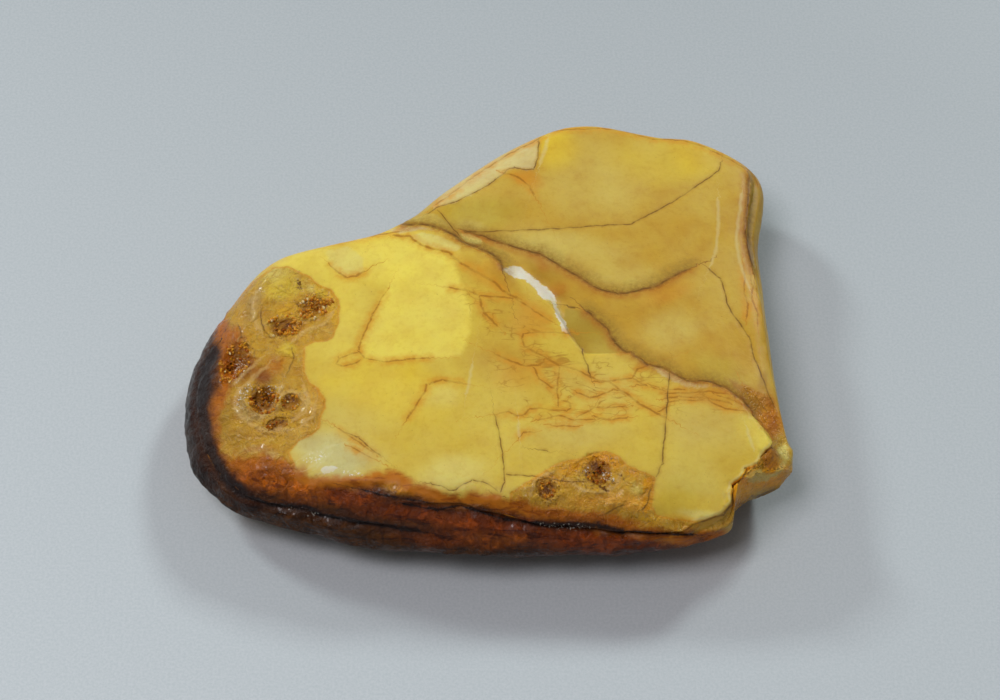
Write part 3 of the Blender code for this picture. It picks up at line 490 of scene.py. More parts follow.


# Veins, with a few dark lines that are painted shadow under overhangs.
VEINS_AND_SHADOW_LINES = (
    Line(0.07, ((-4.5, 15.7), (5, 16.1), (17.5, 17.1), (23, 20.6), (29.6, 26.1), (29.9, 27.3))),
    Line(0.07, ((27.5, 9.6), (29, 8), (29.5, 6), (29.7, 4), (31, 1), (32.4, -1.5), (32.9, -5),
                (35, -12.5))),
    Line(0.2, ((9.2, 3.4), (9.6, 3.3))),
    Line(0.04, ((-8, 19), (-5.6, 15.3))),
    Line(0.07, CHAMFER_CRACK + ((-9.4, 19),)),
    Line(0.07, ((21.8, -7.5), (20.4, -21), (19.6, -23))),
    Line(0.06, ((-0.6, -13.6), (0.4, -20), (0.5, -23.6), (0.1, -25.1))),
    Line(0.05, ((-8.5, -24), (-7.4, -24.2), (-6.3, -24.9), (-5.5, -24.9), (-4.6, -24), (-3.5, -23.5),
                (-2.3, -23.6), (-1.2, -24.1), (-0.4, -24.9))),
    Line(0.05, ((0.5, -22.5), (4, -22.8), (9, -23.7), (10.5, -23.6))),
    Line(0.08, ((10.6, -3.6), (11.6, -7.3))),
    Line(0.06, ((-19.5, -16.2), (-18, -17), (-15.2, -19.6))),
    Line(0.07, ((-7, -25.7), (-5.2, -25.6))),
    Line(0.05, ((-7, -26.1), (-5.4, -26.1))),
    Line(0.08, ((-1.2, -25.2), (-0.8, -25.6), (-0.2, -25.7))),
    Line(0.1, ((12.3, -28.7), (15.3, -27.1))),
    Line(0.09, ((19.2, -23.1), (19.1, -24.4), (18.6, -25.4), (18.3, -26.8), (17.8, -27.6))),
    Line(0.07, ((-27, -3.2), (-26.6, -4.6), (-27.4, -7.3))),
    Line(0.06, ((-31.3, 3.4), (-31.2, 1.4), (-30.7, -0.2), (-29.8, -1.4))),
    Line(0.12, ((-33.9, 0), (-33.5, -1.5), (-32.6, -2.8))),
    Line(0.06, ((5, -18.9), (5.8, -19))),
    # painted shadow under the lip's undercut
    Line(0.25, ((36.4, -23), (35.8, -24.3), (31.6, -26), (30.1, -27))),
    # painted shadow beneath the slab's broken edge
    Line(0.12, shifted(BROKEN_EDGE, 0.2, -0.15)),
)
# Seams, with dark lines at the foot of the slab's broken edges that are partly painted shadow.
SEAMS_AND_SHADOW_LINES = (
    Line(0.22, FAR_EDGE),
    Line(0.16, ((-4.5, 15.8), (-2, 14.9), (0, 13.9), (5.3, 12), (13, 6.3), (15.5, 5.6), (17, 5.7),
                (20.5, 6.7), (22.5, 8.2), (25, 9.6))),
    # the next two lines run along the foot of the slab's low edge: a dark seam with painted shadow
    Line(0.16, ((11.5, 2.6), (14, -0.1), (15, -2.5), (16.3, -3.8), (17, -3.9))),
    Line(0.2, LOW_EDGE),
    Line(0.14, ((33.6, 25), (33.5, 22), (32.7, 16), (33.3, 10))),
)
STAINS = (
    Line(0.12, ((2.9, -1.8), (3.2, -2.9), (4.5, -3.8), (7.5, -5.8), (10, -6.7), (12.5, -8.2), (14, -8.5),
                (18, -12), (21, -14))),
    Line(0.08, ((20, -13.2), (21.1, -12.5))),
    Line(0.06, ((2.9, -1.8), (3, -0.9), (4.2, -0.7), (9, -0.8))),
    Line(0.1, ((12.2, -8.4), (13.6, -8.5), (17, -7.9), (17.8, -6.4), (19, -5.9))),
    Line(0.07, ((17, -7.9), (18.2, -8.8), (21, -9.8))),
    Line(0.08, ((15.3, -9.8), (14.5, -9.7), (12.5, -10.7), (11.5, -10.9), (10, -10.1))),
    Line(0.1, ((-6.5, 6.5), (-4, 6), (-2.7, 5.2), (2, 4.8), (6.3, 1.3))),
    Line(0.11, ((-2.6, 5), (-2.5, 3.6), (-2, 2.5), (-0.5, 0.5))),
    Line(0.1, ((-0.5, -4.2), (2.8, -5.9), (3.5, -6), (5, -5.9), (5.6, -5.4), (5.7, -4.9))),
    Line(0.07, ((4.3, -6), (5, -8), (6.6, -9.3))),
    Line(0.06, ((7.7, -6), (7.3, -9.5), (7.5, -12))),
    Line(0.07, ((0, -13.3), (1, -13.1), (2.1, -13.7), (2.9, -13.6), (3.8, -12.7), (5, -12.6), (8.5, -13),
                (9, -12.5), (8.8, -11.7), (8.2, -11.4))),
    Line(0.05, ((5, -14.3), (7.5, -13.7), (9.5, -14.4), (12, -14.2))),
    Line(0.05, ((10, -13.7), (12, -12.5), (16, -12.3))),
    Line(0.05, ((12, -13.8), (13.5, -14.3), (16, -14))),
    Line(0.04, ((6.5, -15.2), (9.5, -15.3))),
    Line(0.08, ((21.5, -10.3), (27, -10), (29, -10.4))),
    Line(0.08, ((21.4, -11), (23, -10.8), (26.5, -11), (29.5, -11.8))),
    Line(0.06, ((21.6, -11.6), (23, -11.3), (26, -11.4))),
    Line(0.06, ((25.6, -10.3), (27.5, -12), (29, -12.7), (30.5, -12.9))),
    Line(0.06, ((27, -10), (28.5, -10.9), (30, -11.4), (31.2, -12.3))),
    Line(0.06, ((17.6, -9), (19, -8.9), (21.4, -9.6), (23.5, -9.7))),
    Line(0.06, WINDOW_EDGE),
    Line(0.06, ((-18.4, -3.8), (-20.8, -4.8), (-21, -5.6), (-20.3, -6), (-19, -5.7), (-18.2, -5.2))),
    Line(0.1, ((-4.9, -8.7), (-7.5, -8.2), (-9.3, -8.9), (-9.6, -10), (-11.7, -14))),
    Line(0.16, ((-14, 15.2), (-12, 14.9), (-10.5, 13.6), (-6.8, 12.2), (-5, 10.4), (-0.5, 7.2), (0.3, 6),
                (2.6, 4.6))),
    Line(0.1, FLAKE_EDGE),
    Line(0.04, ((2.6, -16.8), (3, -16.3), (4.2, -16.2))),
    Line(0.05, ((-20.2, -15.9), (-15.9, -19.2))),
    Line(0.04, ((-18.7, -18.5), (-16.3, -20))),
    Line(0.1, ((0.5, 25.8), (2.5, 25), (4, 23.5), (4.6, 22))),
    Line(0.05, ((-31.4, 9.7), (-29.8, 11.4), (-26.6, 13.2), (-13.1, 15.9))),
    Line(0.03, ((-8.5, 20.4), (-2.7, 25.9), (1.4, 29.2), (4.8, 31.3), (6.6, 32.9), (8.2, 33.3),
                (13.7, 33.6), (17.1, 33.1), (20.5, 31.7), (24.6, 31.5), (28, 30.3), (34.1, 26.1),
                (34.8, 23.7))),
    Line(0.08, ((31.6, -10.1), (32.2, -11.6), (33.1, -12.8), (33.6, -14.4))),
    Line(0.07, ((32.2, 9.7), (32.3, 7.8), (32, 5.8), (32.5, 3.8), (32.2, 1.9))),
    Line(0.06, ((33, 9.1), (33.3, 6.8), (33, 4.8), (33.6, 2.6), (33.6, 0.3))),
    Line(0.08, ((32.6, -10.7), (34.1, -13.1))),
)
# Pale streaks along rims and breaks, in part painted highlights and glints.
PALE_STREAKS_AND_HIGHLIGHTS = (
    Line(0.08, ((-3.6, -6), (-4.2, -10))),
    Line(0.06, ((2.3, -14.8), (2.4, -16.8))),
    Line(0.09, ((31.3, -16), (32, -18.5))),
    Line(0.1, ((29.3, 21), (29.1, 16), (28.5, 12), (27.9, 10.4))),
    Line(0.1, ((32.5, 22), (31.4, 14), (31.7, 10.5), (32.8, 6.5))),
    Line(0.16, ((6.5, 31.5), (5.5, 27.5))),
    Line(0.07, shifted(BROKEN_EDGE, -0.2, 0.15)),
    Line(0.1, ((-23, -21.5), (-21.3, -19.4))),
    Line(0.08, ((-24.8, -20), (-23.8, -19.2), (-22.9, -19.7), (-22, -18.6), (-21, -18.2))),
    Line(0.1, ((-24, -21.6), (-23, -20.9), (-22.3, -19.8))),
    Line(0.16, ((-22.1, -22.3), (-20.8, -21.9))),
)
# The rind's crevices: their dark colour, with painted shade in and beside them.
SHADED_GROOVES = (
    Line(0.12, ((-12, -26.9), (-7.5, -27.8), (-5, -27.1), (0, -28.9), (4, -29.7))),
    Line(0.5, ((4, -29.8), (12, -30), (15, -30.9))),
    Line(0.08, ((15, -30.9), (24, -31.4))),
    Line(0.05, ((-17, -24.9), (-14, -25.8), (-9, -26.6))),
    Line(1.1, ((-37, -3.8), (-37.8, -6), (-38.1, -8.8), (-38, -12.1), (-37.4, -15.9), (-36.2, -19.7),
               (-34.4, -22.9), (-32.1, -25.4))),
    Line(0.35, ((-32, -25.5), (-28.8, -27), (-24, -27.4), (-22.2, -28.5), (-10, -30.9))),
)
RIDGES = (
    Line(0.25, ((-30.3, -13.8), (-29.6, -13), (-28.6, -12.7))),
    Line(0.2, ((-27.9, -10.4), (-26.9, -9.9), (-25.7, -10.4), (-25, -11.6), (-25.1, -13), (-25.8, -13.8))),
    Line(0.15, ((-25.1, -15), (-23.9, -13.8), (-23.5, -11.9))),
    Line(0.16, ((-32.2, 5), (-32.3, 3), (-31.9, 1), (-31, -0.7))),
    Line(0.12, ((-30.9, -4.8), (-32.4, -6.6), (-34.2, -8.9))),
    Line(0.12, ((-30, -6), (-31.4, -7.6), (-33, -9.3))),
    Line(0.2, ((-33.4, -9.6), (-34, -11.6), (-33.2, -13.6), (-31.6, -15), (-29.6, -16), (-27, -15.8))),
    Line(0.14, ((-31, -13.6), (-29, -12.6), (-28.3, -10.6), (-28, -9))),
    Line(0.14, ((-25.2, -9), (-24.6, -11), (-24.9, -13.2), (-26.2, -14.4))),
    Line(0.12, ((-26.8, -2), (-25, -0.2), (-22.8, 0.6), (-21.9, 2.4))),
    Line(0.1, ((3.8, -25.6), (4.4, -23.2), (6.2, -22.4))),
    Line(0.1, ((8.8, -23.6), (10.2, -24.8), (12.2, -25.3), (14.4, -24.4), (15.2, -22.4))),
)
LIP_CREST = (
    Line(0.3, ((36.3, -19.2), (35.9, -20.7), (34.7, -21.9), (33.1, -22.3), (31.6, -22.6), (30.6, -23.4))),
)
PITS = (
    Line(0.35, ((-26.5, 7.6), (-26.2, 6.4))),
    Line(0.2, ((-26.7, 4), (-26.4, 3.7))),
    Line(0.2, ((-25.8, 4.3), (-25.5, 4))),
    Line(0.2, ((-24.6, 4.2), (-24.3, 3.8))),
    Line(0.3, ((-23.5, 3.4), (-23.1, 2.7))),
    Line(0.2, ((-22.9, 3.8), (-22.8, 3.5))),
    Line(0.2, ((-25.5, 2.7), (-25.2, 2.4))),
    Line(0.4, ((-28.1, -0.2), (-27.6, 0.5))),
    Line(0.3, ((-28.7, -1.1), (-28.5, -0.8))),
    Line(0.25, ((-27.2, -0.5), (-26.9, 0))),
    Line(0.3, ((-29.3, -15.1), (-28.9, -15.6))),
    Line(0.3, ((-27.9, -14.7), (-27.5, -14.5))),
    Line(0.25, ((-27.2, -10.8), (-27, -11.5))),
    Line(0.25, ((-26.6, -11), (-26.4, -11.5))),
    Line(0.3, ((-31.4, -11.5), (-31.1, -12.1))),
    Line(0.2, ((-30.4, -10.8), (-30.2, -11.1))),
    Line(0.5, ((11.9, -21), (12.4, -22.2))),
    Line(0.25, ((12.6, -24.4), (13.4, -24.9))),
    Line(0.2, ((15.2, -22.8), (15.4, -23.2))),
    Line(0.2, ((14, -23.5), (14.3, -23.8))),
    Line(0.2, ((10.8, -22.5), (11, -23.1))),
    Line(0.35, ((5.6, -24.6), (6, -25.2))),
    Line(0.2, ((6.4, -24.1), (6.6, -24.4))),
    Line(0.2, ((5, -25.4), (5.2, -25.7))),
)
LINE_SETS = {
    "vein_and_shadow_line": VEINS_AND_SHADOW_LINES, "seam_and_shadow_line": SEAMS_AND_SHADOW_LINES, "stain": STAINS, "pale_streak_and_highlight": PALE_STREAKS_AND_HIGHLIGHTS, "shaded_groove": SHADED_GROOVES, "ridge": RIDGES,
}
LINE_RELIEF = (                 # lines, their rise in millimetres, and where it starts and stops fading
    (LIP_CREST, 0.4, -0.2, 0.8),
    (VEINS_AND_SHADOW_LINES + SEAMS_AND_SHADOW_LINES, -0.06, 0.0, 0.3),
    (STAINS, -0.03, 0.0, 0.3),
    (RIDGES, 0.16, -0.1, 0.5),
    (PITS, -0.25, -0.2, 0.2),
)


class GlintSpot(NamedTuple):
    """A place where small white specks are painted as glints of light."""

    middle: tuple
    half: tuple
    turn: float
    strength: float


# Spots where white specks are painted as glints of light.
PAINTED_GLINTS = (
    GlintSpot((-18.4, -22.4), (1.6, 0.4), 0, 0.36),
    GlintSpot((13.6, -22.9), (1.1, 0.8), -30, 0.34),
    GlintSpot((11, -21.9), (0.5, 0.4), 0, 0.4),
    GlintSpot((-26, -27.6), (0.6, 0.3), 0, 0.34),
    GlintSpot((-23.3, -28.4), (1, 0.3), -8, 0.34),
    GlintSpot((8, -30.2), (4, 0.5), -5, 0.2),
    GlintSpot((-33.6, -6.6), (0.9, 2.4), -20, 0.24),
    GlintSpot((-29.3, -10.4), (1.4, 1.8), -20, 0.22),
    GlintSpot((-32.7, -10.7), (1.2, 2.2), -20, 0.2),
    GlintSpot((-23.2, -20.1), (1.6, 0.9), 20, 0.27),
)


class Vug(NamedTuple):
    """A hollow lined with crystals: its place, how far crust fills it, and how its crystals stand."""

    middle: tuple
    half: tuple
    turn: float
    filled: float
    reach: float       # of the crystals, in half widths
    bright: float      # from 0 to 1


VUGS = {
    "upper_right": Vug((-24.3, 3.9), (2.1, 1.8), 20, 0.85, 1.1, 0.62),
    "upper_left": Vug((-28.3, 0.9), (2.0, 1.8), 30, 0.75, 1.15, 0.58),
    "rim": Vug((-34.4, -4.2), (2.1, 3.2), -12, 0.5, 1.0, 0.5),
    "middle": Vug((-30.3, -10.5), (2.1, 2.4), -25, 0.4, 0.9, 0.5),
    "round": Vug((-26.8, -11.1), (1.5, 1.5), 0, 0.75, 0.8, 0.62),
    "lower": Vug((-28.4, -14.3), (1.8, 1.2), 10, 0.75, 0.75, 0.5),
    "front": Vug((12.3, -21.7), (2.1, 2.1), 10, 0.85, 0.8, 0.5),
    "small_front": Vug((5.8, -24.1), (1.5, 1.4), 0, 0.85, 0.7, 0.55),
}


# ---------------------------------------------------------------- measuring on the drawing

def on_drawing(points):
    """Frame positions in metres, as positions on the drawing in millimetres."""
    return np.asarray(points) / MM + DRAWN_ORIGIN


def in_frame(points):
    """Positions on the drawing in millimetres, as frame positions in metres."""
    return (np.asarray(points) - DRAWN_ORIGIN) * MM


def sighted(points):
    """The plan points that drawn positions are seen at from the photograph's camera."""
    reach = (SIGHT[2] - SIGHT_LEVEL) / (SIGHT[2] - points[:, 2:3])
    return SIGHT[:2] + (points[:, :2] - SIGHT[:2]) * reach


def smooth_step(value, start, end):
    t = np.clip((value - start) / (end - start), 0, 1)
    return t * t * (3 - 2 * t)


def lumps(points, wavelength, seed=0, detail=1):
    """Smooth noise from about -1 to 1 at each point, on the drawing's millimetres."""
    shift = Vector((seed * 17.3, seed * 5.9, seed * 11.1))
    if points.shape[1] == 2:
        points = np.column_stack([points, np.zeros(len(points))])
    return np.array([noise.fractal(Vector(p) + shift, 1.0, 2.0, detail) for p in points / wavelength])


def wandered(plan, amount, wavelength, seed):
    """Plan points nudged by smooth noise, so that what is drawn over them isn't too even."""
    return plan + amount * np.column_stack([lumps(plan, wavelength, seed), lumps(plan, wavelength, seed + 1)])


def in_half_widths(plan, place):
    """How far plan points lie from the middle of a patch, glint spot or vug: 1 on its ellipse."""
    angle = math.radians(place.turn)
    offset = plan - np.array(place.middle)
    along = offset @ (math.cos(angle), math.sin(angle)) / place.half[0]
    across = offset @ (-math.sin(angle), math.cos(angle)) / place.half[1]
    return np.hypot(along, across)


def to_segment(plan, start, end):
    """For plan points: signed offset from the line of a segment, and how far past its ends they lie."""
    run = np.subtract(end, start)
    length = np.hypot(*run)
    run = run / length
    offset = plan - np.array(start)
    along = offset @ run
    side = offset @ (-run[1], run[0])
    return side, np.maximum(np.maximum(-along, along - length), 0)


def distance_inside(plan, outline):
    """Millimetres that plan points lie inside a closed outline, negative outside it."""
    nearest = np.full(len(plan), np.inf)
    crossed = np.zeros(len(plan), bool)
    for start, end in zip(outline, outline[1:] + outline[:1]):
        nearest = np.minimum(nearest, np.hypot(*to_segment(plan, start, end)))
        (x1, y1), (x2, y2) = start, end
        if y1 != y2:
            spans = (y1 > plan[:, 1]) != (y2 > plan[:, 1])
            crossed ^= spans & (plan[:, 0] < x1 + (plan[:, 1] - y1) * (x2 - x1) / (y2 - y1))
    return np.where(crossed, nearest, -nearest)


def segments_of(lines):
    """Half width, start and end of each straight piece of some lines."""
    return [(line.width, *ends) for line in lines for ends in zip(line.points[:-1], line.points[1:])]


def distance_to_lines(plan, lines):
    """Millimetres from plan points to the nearest of some lines, less that line's half width."""
    nearest = np.full(len(plan), np.inf)
    for width, start, end in segments_of(lines):
        nearest = np.minimum(nearest, np.hypot(*to_segment(plan, start, end)) - width)
    return nearest


def distance_to_vugs(plan):
    """About how many millimetres plan points lie outside the nearest vug, negative inside it."""
    return np.min([(in_half_widths(plan, vug) - 1) * sum(vug.half) / 2 for vug in VUGS.values()], axis=0)


def nearness(points, middle, start, end):
    """1 over the plan up to the start distance from a point, fading to 0 at the end distance."""
    return 1 - smooth_step(np.hypot(*(points[:, :2] - middle).T), start, end)


# ---------------------------------------------------------------- the fine surface

def link(name, data):
    obj = bpy.data.objects.new(name, data)
    bpy.context.scene.collection.objects.link(obj)
    return obj


def fine_copy(node, name):
    """A smooth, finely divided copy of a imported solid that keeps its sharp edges."""
    grid = bmesh.new()
    grid.from_mesh(node.data)
    bmesh.ops.remove_doubles(grid, verts=grid.verts, dist=WELD * MM)
    crease = grid.edges.layers.float.new("crease_edge")
    for edge in grid.edges:
        if edge.calc_face_angle(0.0) > math.radians(CREASE_ANGLE):
            edge[crease] = 1.0
    mesh = bpy.data.meshes.new(name)
    grid.to_mesh(mesh)
    grid.free()
    rough_copy = link(name, mesh)
    divide = rough_copy.modifiers.new("divide", "SUBSURF")
    divide.levels = divide.render_levels = SUBDIVISIONS
    fine = bpy.data.meshes.new_from_object(rough_copy.evaluated_get(bpy.context.evaluated_depsgraph_get()))
    bpy.data.objects.remove(rough_copy)
    bpy.data.meshes.remove(mesh)
    fine.materials.clear()
    fine.shade_smooth()
    return link(name, fine)


def read_points(mesh):
    points = np.empty(len(mesh.vertices) * 3)
    mesh.vertices.foreach_get("co", points)
    return on_drawing(points.reshape(-1, 3))


def write_points(mesh, points):
    mesh.vertices.foreach_set("co", in_frame(points).ravel())
    mesh.update()


def read_normals(mesh):
    normals = np.empty(len(mesh.vertices) * 3)
    mesh.vertex_normals.foreach_get("vector", normals)
    return normals.reshape(-1, 3)


def facing_sight(points, normals):
    """1 where the surface faces the photograph's camera, 0 where it is turned away."""
    towards = SIGHT - points
    towards /= np.linalg.norm(towards, axis=1, keepdims=True)
    return smooth_step((normals * towards).sum(axis=1), -0.5, -0.1)


def break_edges(points):
    """Carries the slab's thin edge out over its side, notches the lip, and gives the break small teeth."""
    for middle, reach, shift, lowest in BREAKS:
        moved = nearness(points, middle, 0.3 * reach, reach)
        moved *= smooth_step(points[:, 2], lowest - 1.0, lowest + 0.8)
        points[:, :2] += moved[:, None] * shift
    rim = 1 - smooth_step(np.abs(distance_inside(points[:, :2], PLATE)), 0.4, 1.1)
    teeth = BREAK_TEETH * nearness(points, LEDGE_MIDDLE, LEDGE_REACH, 1.6 * LEDGE_REACH) * rim
    teeth *= smooth_step(points[:, 2], 11.0, 12.2)
    sway = np.column_stack([lumps(points[:, :2], 1.0, seed, 2) for seed in (36, 39)])
    points[:, :2] += teeth[:, None] * sway


def fill_ledge(points):
    """Banks the stone up against the slab's broken edge, so that it falls away to the lip in a slope."""
    beside = distance_inside(points[:, :2], PLATE)
    bank = LEDGE_TOP - LEDGE_FALL * beside + 0.5 * lumps(points[:, :2], 1.6, 37, 3)
    share = nearness(points, LEDGE_MIDDLE, 0.6 * LEDGE_REACH, LEDGE_REACH)
    share *= smooth_step(points[:, 2], 6.0, 8.0) * smooth_step(beside, -0.5, -0.1)
    points[:, 2] += share * np.maximum(bank - points[:, 2], 0)


def fill_vugs(points):
    """Raises the floor of each hollow towards the level of its rim, as a crust under the crystals."""
    upper = points[:, 2] > SIGHT_LEVEL / 2
    for vug in VUGS.values():
        away = in_half_widths(points[:, :2], vug)
        rim = points[(away > VUG_RIM[0]) & (away < VUG_RIM[1]) & upper]
        level = np.linalg.lstsq(np.column_stack([rim[:, :2], np.ones(len(rim))]), rim[:, 2], rcond=None)[0]
        inside = (away < VUG_RIM[0]) & upper
        full = points[inside, :2] @ level[:2] + level[2]
        points[inside, 2] += vug.filled * np.maximum(full - points[inside, 2], 0)


def add_relief(mesh):
    """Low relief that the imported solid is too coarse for."""
    points, normals = read_points(mesh), read_normals(mesh)
    plan = wandered(sighted(points), 0.15, 0.9, 20)
    seen = facing_sight(points, normals)
    skin = smooth_step(distance_inside(plan, SKIN), -0.3, 0.6) * seen + (1 - seen)
    rise = (0.16 * lumps(points, 2.6, 30, 3) + 0.22 * lumps(points, 6.0, 34)) * skin
    rise += 0.12 * lumps(points * ALONG_THE_SIDE, 1.1, 35, 2) * skin
    for outline in AGATES.values():
        agate = smooth_step(distance_inside(plan, outline), -0.2, 0.8) * (1 - skin)
        rise += agate * 0.26 * lumps(points, 1.9, 31, 3)
    rise += smooth_step(distance_inside(plan, BREAK), 0.0, 1.0) * 0.22 * lumps(points, 1.5, 38, 3)
    away = distance_to_vugs(points[:, :2])
    walls = smooth_step(away, -1.6, -0.3) * (1 - smooth_step(away, 0.2, 1.2))
    rise += 0.26 * lumps(points, 0.9, 33, 2) * walls + 0.02 * lumps(points, 3.0, 32, 2)
    for lines, height, start, end in LINE_RELIEF:
        rise += height * (1 - smooth_step(distance_to_lines(plan, lines), start, end)) * seen
    points += normals * rise[:, None]
    fill_vugs(points)
    break_edges(points)
    fill_ledge(points)
    points[:, 2] = np.maximum(points[:, 2], 0)
    write_points(mesh, points)


# ---------------------------------------------------------------- marks that the materials read

def write_values(mesh, name, values, domain="POINT"):
    attribute = mesh.attributes.new(name, "FLOAT", domain)
    attribute.data.foreach_set("value", np.ascontiguousarray(values, np.float32))


def write_colours(mesh, name, colours):
    attribute = mesh.attributes.new(name, "FLOAT_COLOR", "POINT")
    full = np.column_stack([colours, np.ones(len(colours))])
    attribute.data.foreach_set("color", np.ascontiguousarray(full, np.float32).ravel())


def patched(plan, base, patches):
    """Colours over the plan: the base, with each soft patch laid over it in turn."""
    colours = np.tile(paint(base), (len(plan), 1))
    for patch in patches:
        share = patch.strength * (1 - smooth_step(in_half_widths(plan, patch), 0.25, 1.1))
        colours += (np.array(paint(patch.colour)) - colours) * share[:, None]
    return colours


def mark_lines(mesh, name, lines, plan):
    """For each face, how far its corners lie off the line nearest to it, and that line's half width."""
    counts = np.empty(len(mesh.polygons), int)
    mesh.polygons.foreach_get("loop_total", counts)
    corners = np.empty(len(mesh.loops), int)
    mesh.loops.foreach_get("vertex_index", corners)
    face_of_corner = np.repeat(np.arange(len(counts)), counts)
    middles = np.zeros((len(counts), 2))
    np.add.at(middles, face_of_corner, plan[corners])
    middles /= counts[:, None]
    segments = segments_of(lines)
    nearest = np.full(len(middles), np.inf)
    chosen = np.zeros(len(middles), int)
    for index, (width, start, end) in enumerate(segments):
        distance = np.hypot(*to_segment(middles, start, end)) - width
        better = distance < nearest
        nearest[better] = distance[better]
        chosen[better] = index
    offsets = np.empty(len(corners))
    for index, (width, start, end) in enumerate(segments):
        own = chosen[face_of_corner] == index
        side, past = to_segment(plan[corners[own]], start, end)
        offsets[own] = np.where(side < 0, -1, 1) * np.hypot(side, past)
    widths = np.array([segment[0] for segment in segments])
    write_values(mesh, name + "_offset", offsets, "CORNER")
    write_values(mesh, name + "_width", widths[chosen][face_of_corner], "CORNER")


def mark_stone(mesh):
    points, normals = read_points(mesh), read_normals(mesh)
    plan = sighted(points)
    loose = wandered(plan, 0.9, 4.0, 40)
    crooked = wandered(wandered(plan, 0.16, 1.1, 42), 0.06, 0.45, 44)
    for name, (base, patches) in COLOUR_FIELDS.items():
        write_colours(mesh, name, patched(loose, base, patches))
    write_values(mesh, "seen", facing_sight(points, normals))
    write_values(mesh, "vug", distance_to_vugs(wandered(points[:, :2], 0.25, 1.0, 46)))
    write_values(mesh, "height", points[:, 2])
    write_values(mesh, "pit", distance_to_lines(crooked, PITS))
    # white specks painted as glints of light
    write_values(mesh, "painted_glints", np.max([
        bruise.strength * (1 - smooth_step(in_half_widths(plan, bruise), 0.5, 1.3)) for bruise in PAINTED_GLINTS
    ], axis=0))
    write_values(mesh, "crazed", distance_inside(loose, CRAZED))
    outlines = {"plate": PLATE, "break": BREAK, "skin": SKIN} | AGATES
    outlines |= {name: zone.outline for name, zone in (ZONES | AGATE_ZONES).items()}
    for name, outline in outlines.items():
        write_values(mesh, name, distance_inside(crooked, outline))
    for name, lines in LINE_SETS.items():
        mark_lines(mesh, name, lines, crooked)


# ---------------------------------------------------------------- materials

class Recipe:
    """Builds one material's node tree around its Principled shader."""

    def __init__(self, name):
        self.material = bpy.data.materials.new(name)
        self.material.use_nodes = True
        self.tree = self.material.node_tree
        self.shader = self.tree.nodes["Principled BSDF"]
        self.place = self.tree.nodes.new("ShaderNodeTexCoord").outputs["Object"]

    def put(self, value, socket):
        """Sets a socket to a number or colour, or links it to another node's output."""
        if isinstance(value, bpy.types.NodeSocket):
            self.tree.links.new(value, socket)
        elif socket.type == "RGBA":
            socket.default_value = (*value, 1.0)
        else:
            socket.default_value = value

    def set(self, **inputs):
        for name, value in inputs.items():
            self.put(value, self.shader.inputs[name.replace("_", " ")])

    def math(self, operation, *values):
        node = self.tree.nodes.new("ShaderNodeMath")
        node.operation = operation
        for value, socket in zip(values, node.inputs):
            self.put(value, socket)
        return node.outputs[0]

    def times(self, *values):
        product, *others = values
        for value in others:
            product = self.math("MULTIPLY", product, value)
        return product

    def highest(self, first, *others):
        for value in others:
            first = self.math("MAXIMUM", first, value)
        return first

    def noise_node(self, size):
        node = self.tree.nodes.new("ShaderNodeTexNoise")
        node.inputs["Scale"].default_value = 1 / (size * MM)
        return node

    def noise(self, size, detail=3.0, roughness=0.55, distortion=0.0, place=None):
        """Fractal noise with features of about this many millimetres, from 0 to 1."""
        node = self.noise_node(size)
        node.inputs["Detail"].default_value = detail
        node.inputs["Roughness"].default_value = roughness
        node.inputs["Distortion"].default_value = distortion
        self.put(place or self.place, node.inputs["Vector"])
        return node.outputs[0]

    def colour_noise(self, size):
        """Noise that differs along each axis, for pushing coordinates about."""
        node = self.noise_node(size)
        self.put(self.place, node.inputs["Vector"])
        return node.outputs["Color"]

    def attribute(self, name, colour=False):
        node = self.tree.nodes.new("ShaderNodeAttribute")
        node.attribute_name = name
        return node.outputs["Color" if colour else "Fac"]

    def between(self, value, low, high, to_low=0.0, to_high=1.0):
        """The value, taken smoothly from one range to another and held at its ends."""
        node = self.tree.nodes.new("ShaderNodeMapRange")
        node.interpolation_type = "SMOOTHSTEP"
        for given, socket in zip((value, low, high, to_low, to_high), node.inputs):
            self.put(given, socket)
        return node.outputs[0]

    def blotches(self, size, low, high, most=1.0, **noise_settings):
        """0 where noise of this size is under low, rising to the most where it is over high."""
        return self.between(self.noise(size, **noise_settings), low, high, 0.0, most)

    def mix(self, share, first, second, blend="MIX"):
        node = self.tree.nodes.new("ShaderNodeMix")
        node.data_type = "RGBA"
        node.blend_type = blend
        self.put(share, node.inputs["Factor"])
        self.put(first, node.inputs[6])
        self.put(second, node.inputs[7])
        return node.outputs[2]

    def tinted(self, share, colour, tint):
        """A colour multiplied by a tint, to a share."""
        return self.mix(share, colour, TINTS[tint], "MULTIPLY")

    def stretched(self, x, y, z):
        """The object's own coordinates, each axis scaled."""
        node = self.tree.nodes.new("ShaderNodeMapping")
        node.inputs["Scale"].default_value = (x, y, z)
        self.put(self.place, node.inputs["Vector"])
        return node.outputs[0]

    def along(self, x, y, z):
        """Metres along a direction on the object."""
        node = self.tree.nodes.new("ShaderNodeVectorMath")
        node.operation = "DOT_PRODUCT"
        self.put(self.place, node.inputs[0])
        node.inputs[1].default_value = (x, y, z)
        return node.outputs["Value"]

    def bump(self, height, distance, strength):
        node = self.tree.nodes.new("ShaderNodeBump")
        node.inputs["Distance"].default_value = distance * MM
        self.put(strength, node.inputs["Strength"])
        self.put(height, node.inputs["Height"])
        return node.outputs[0]


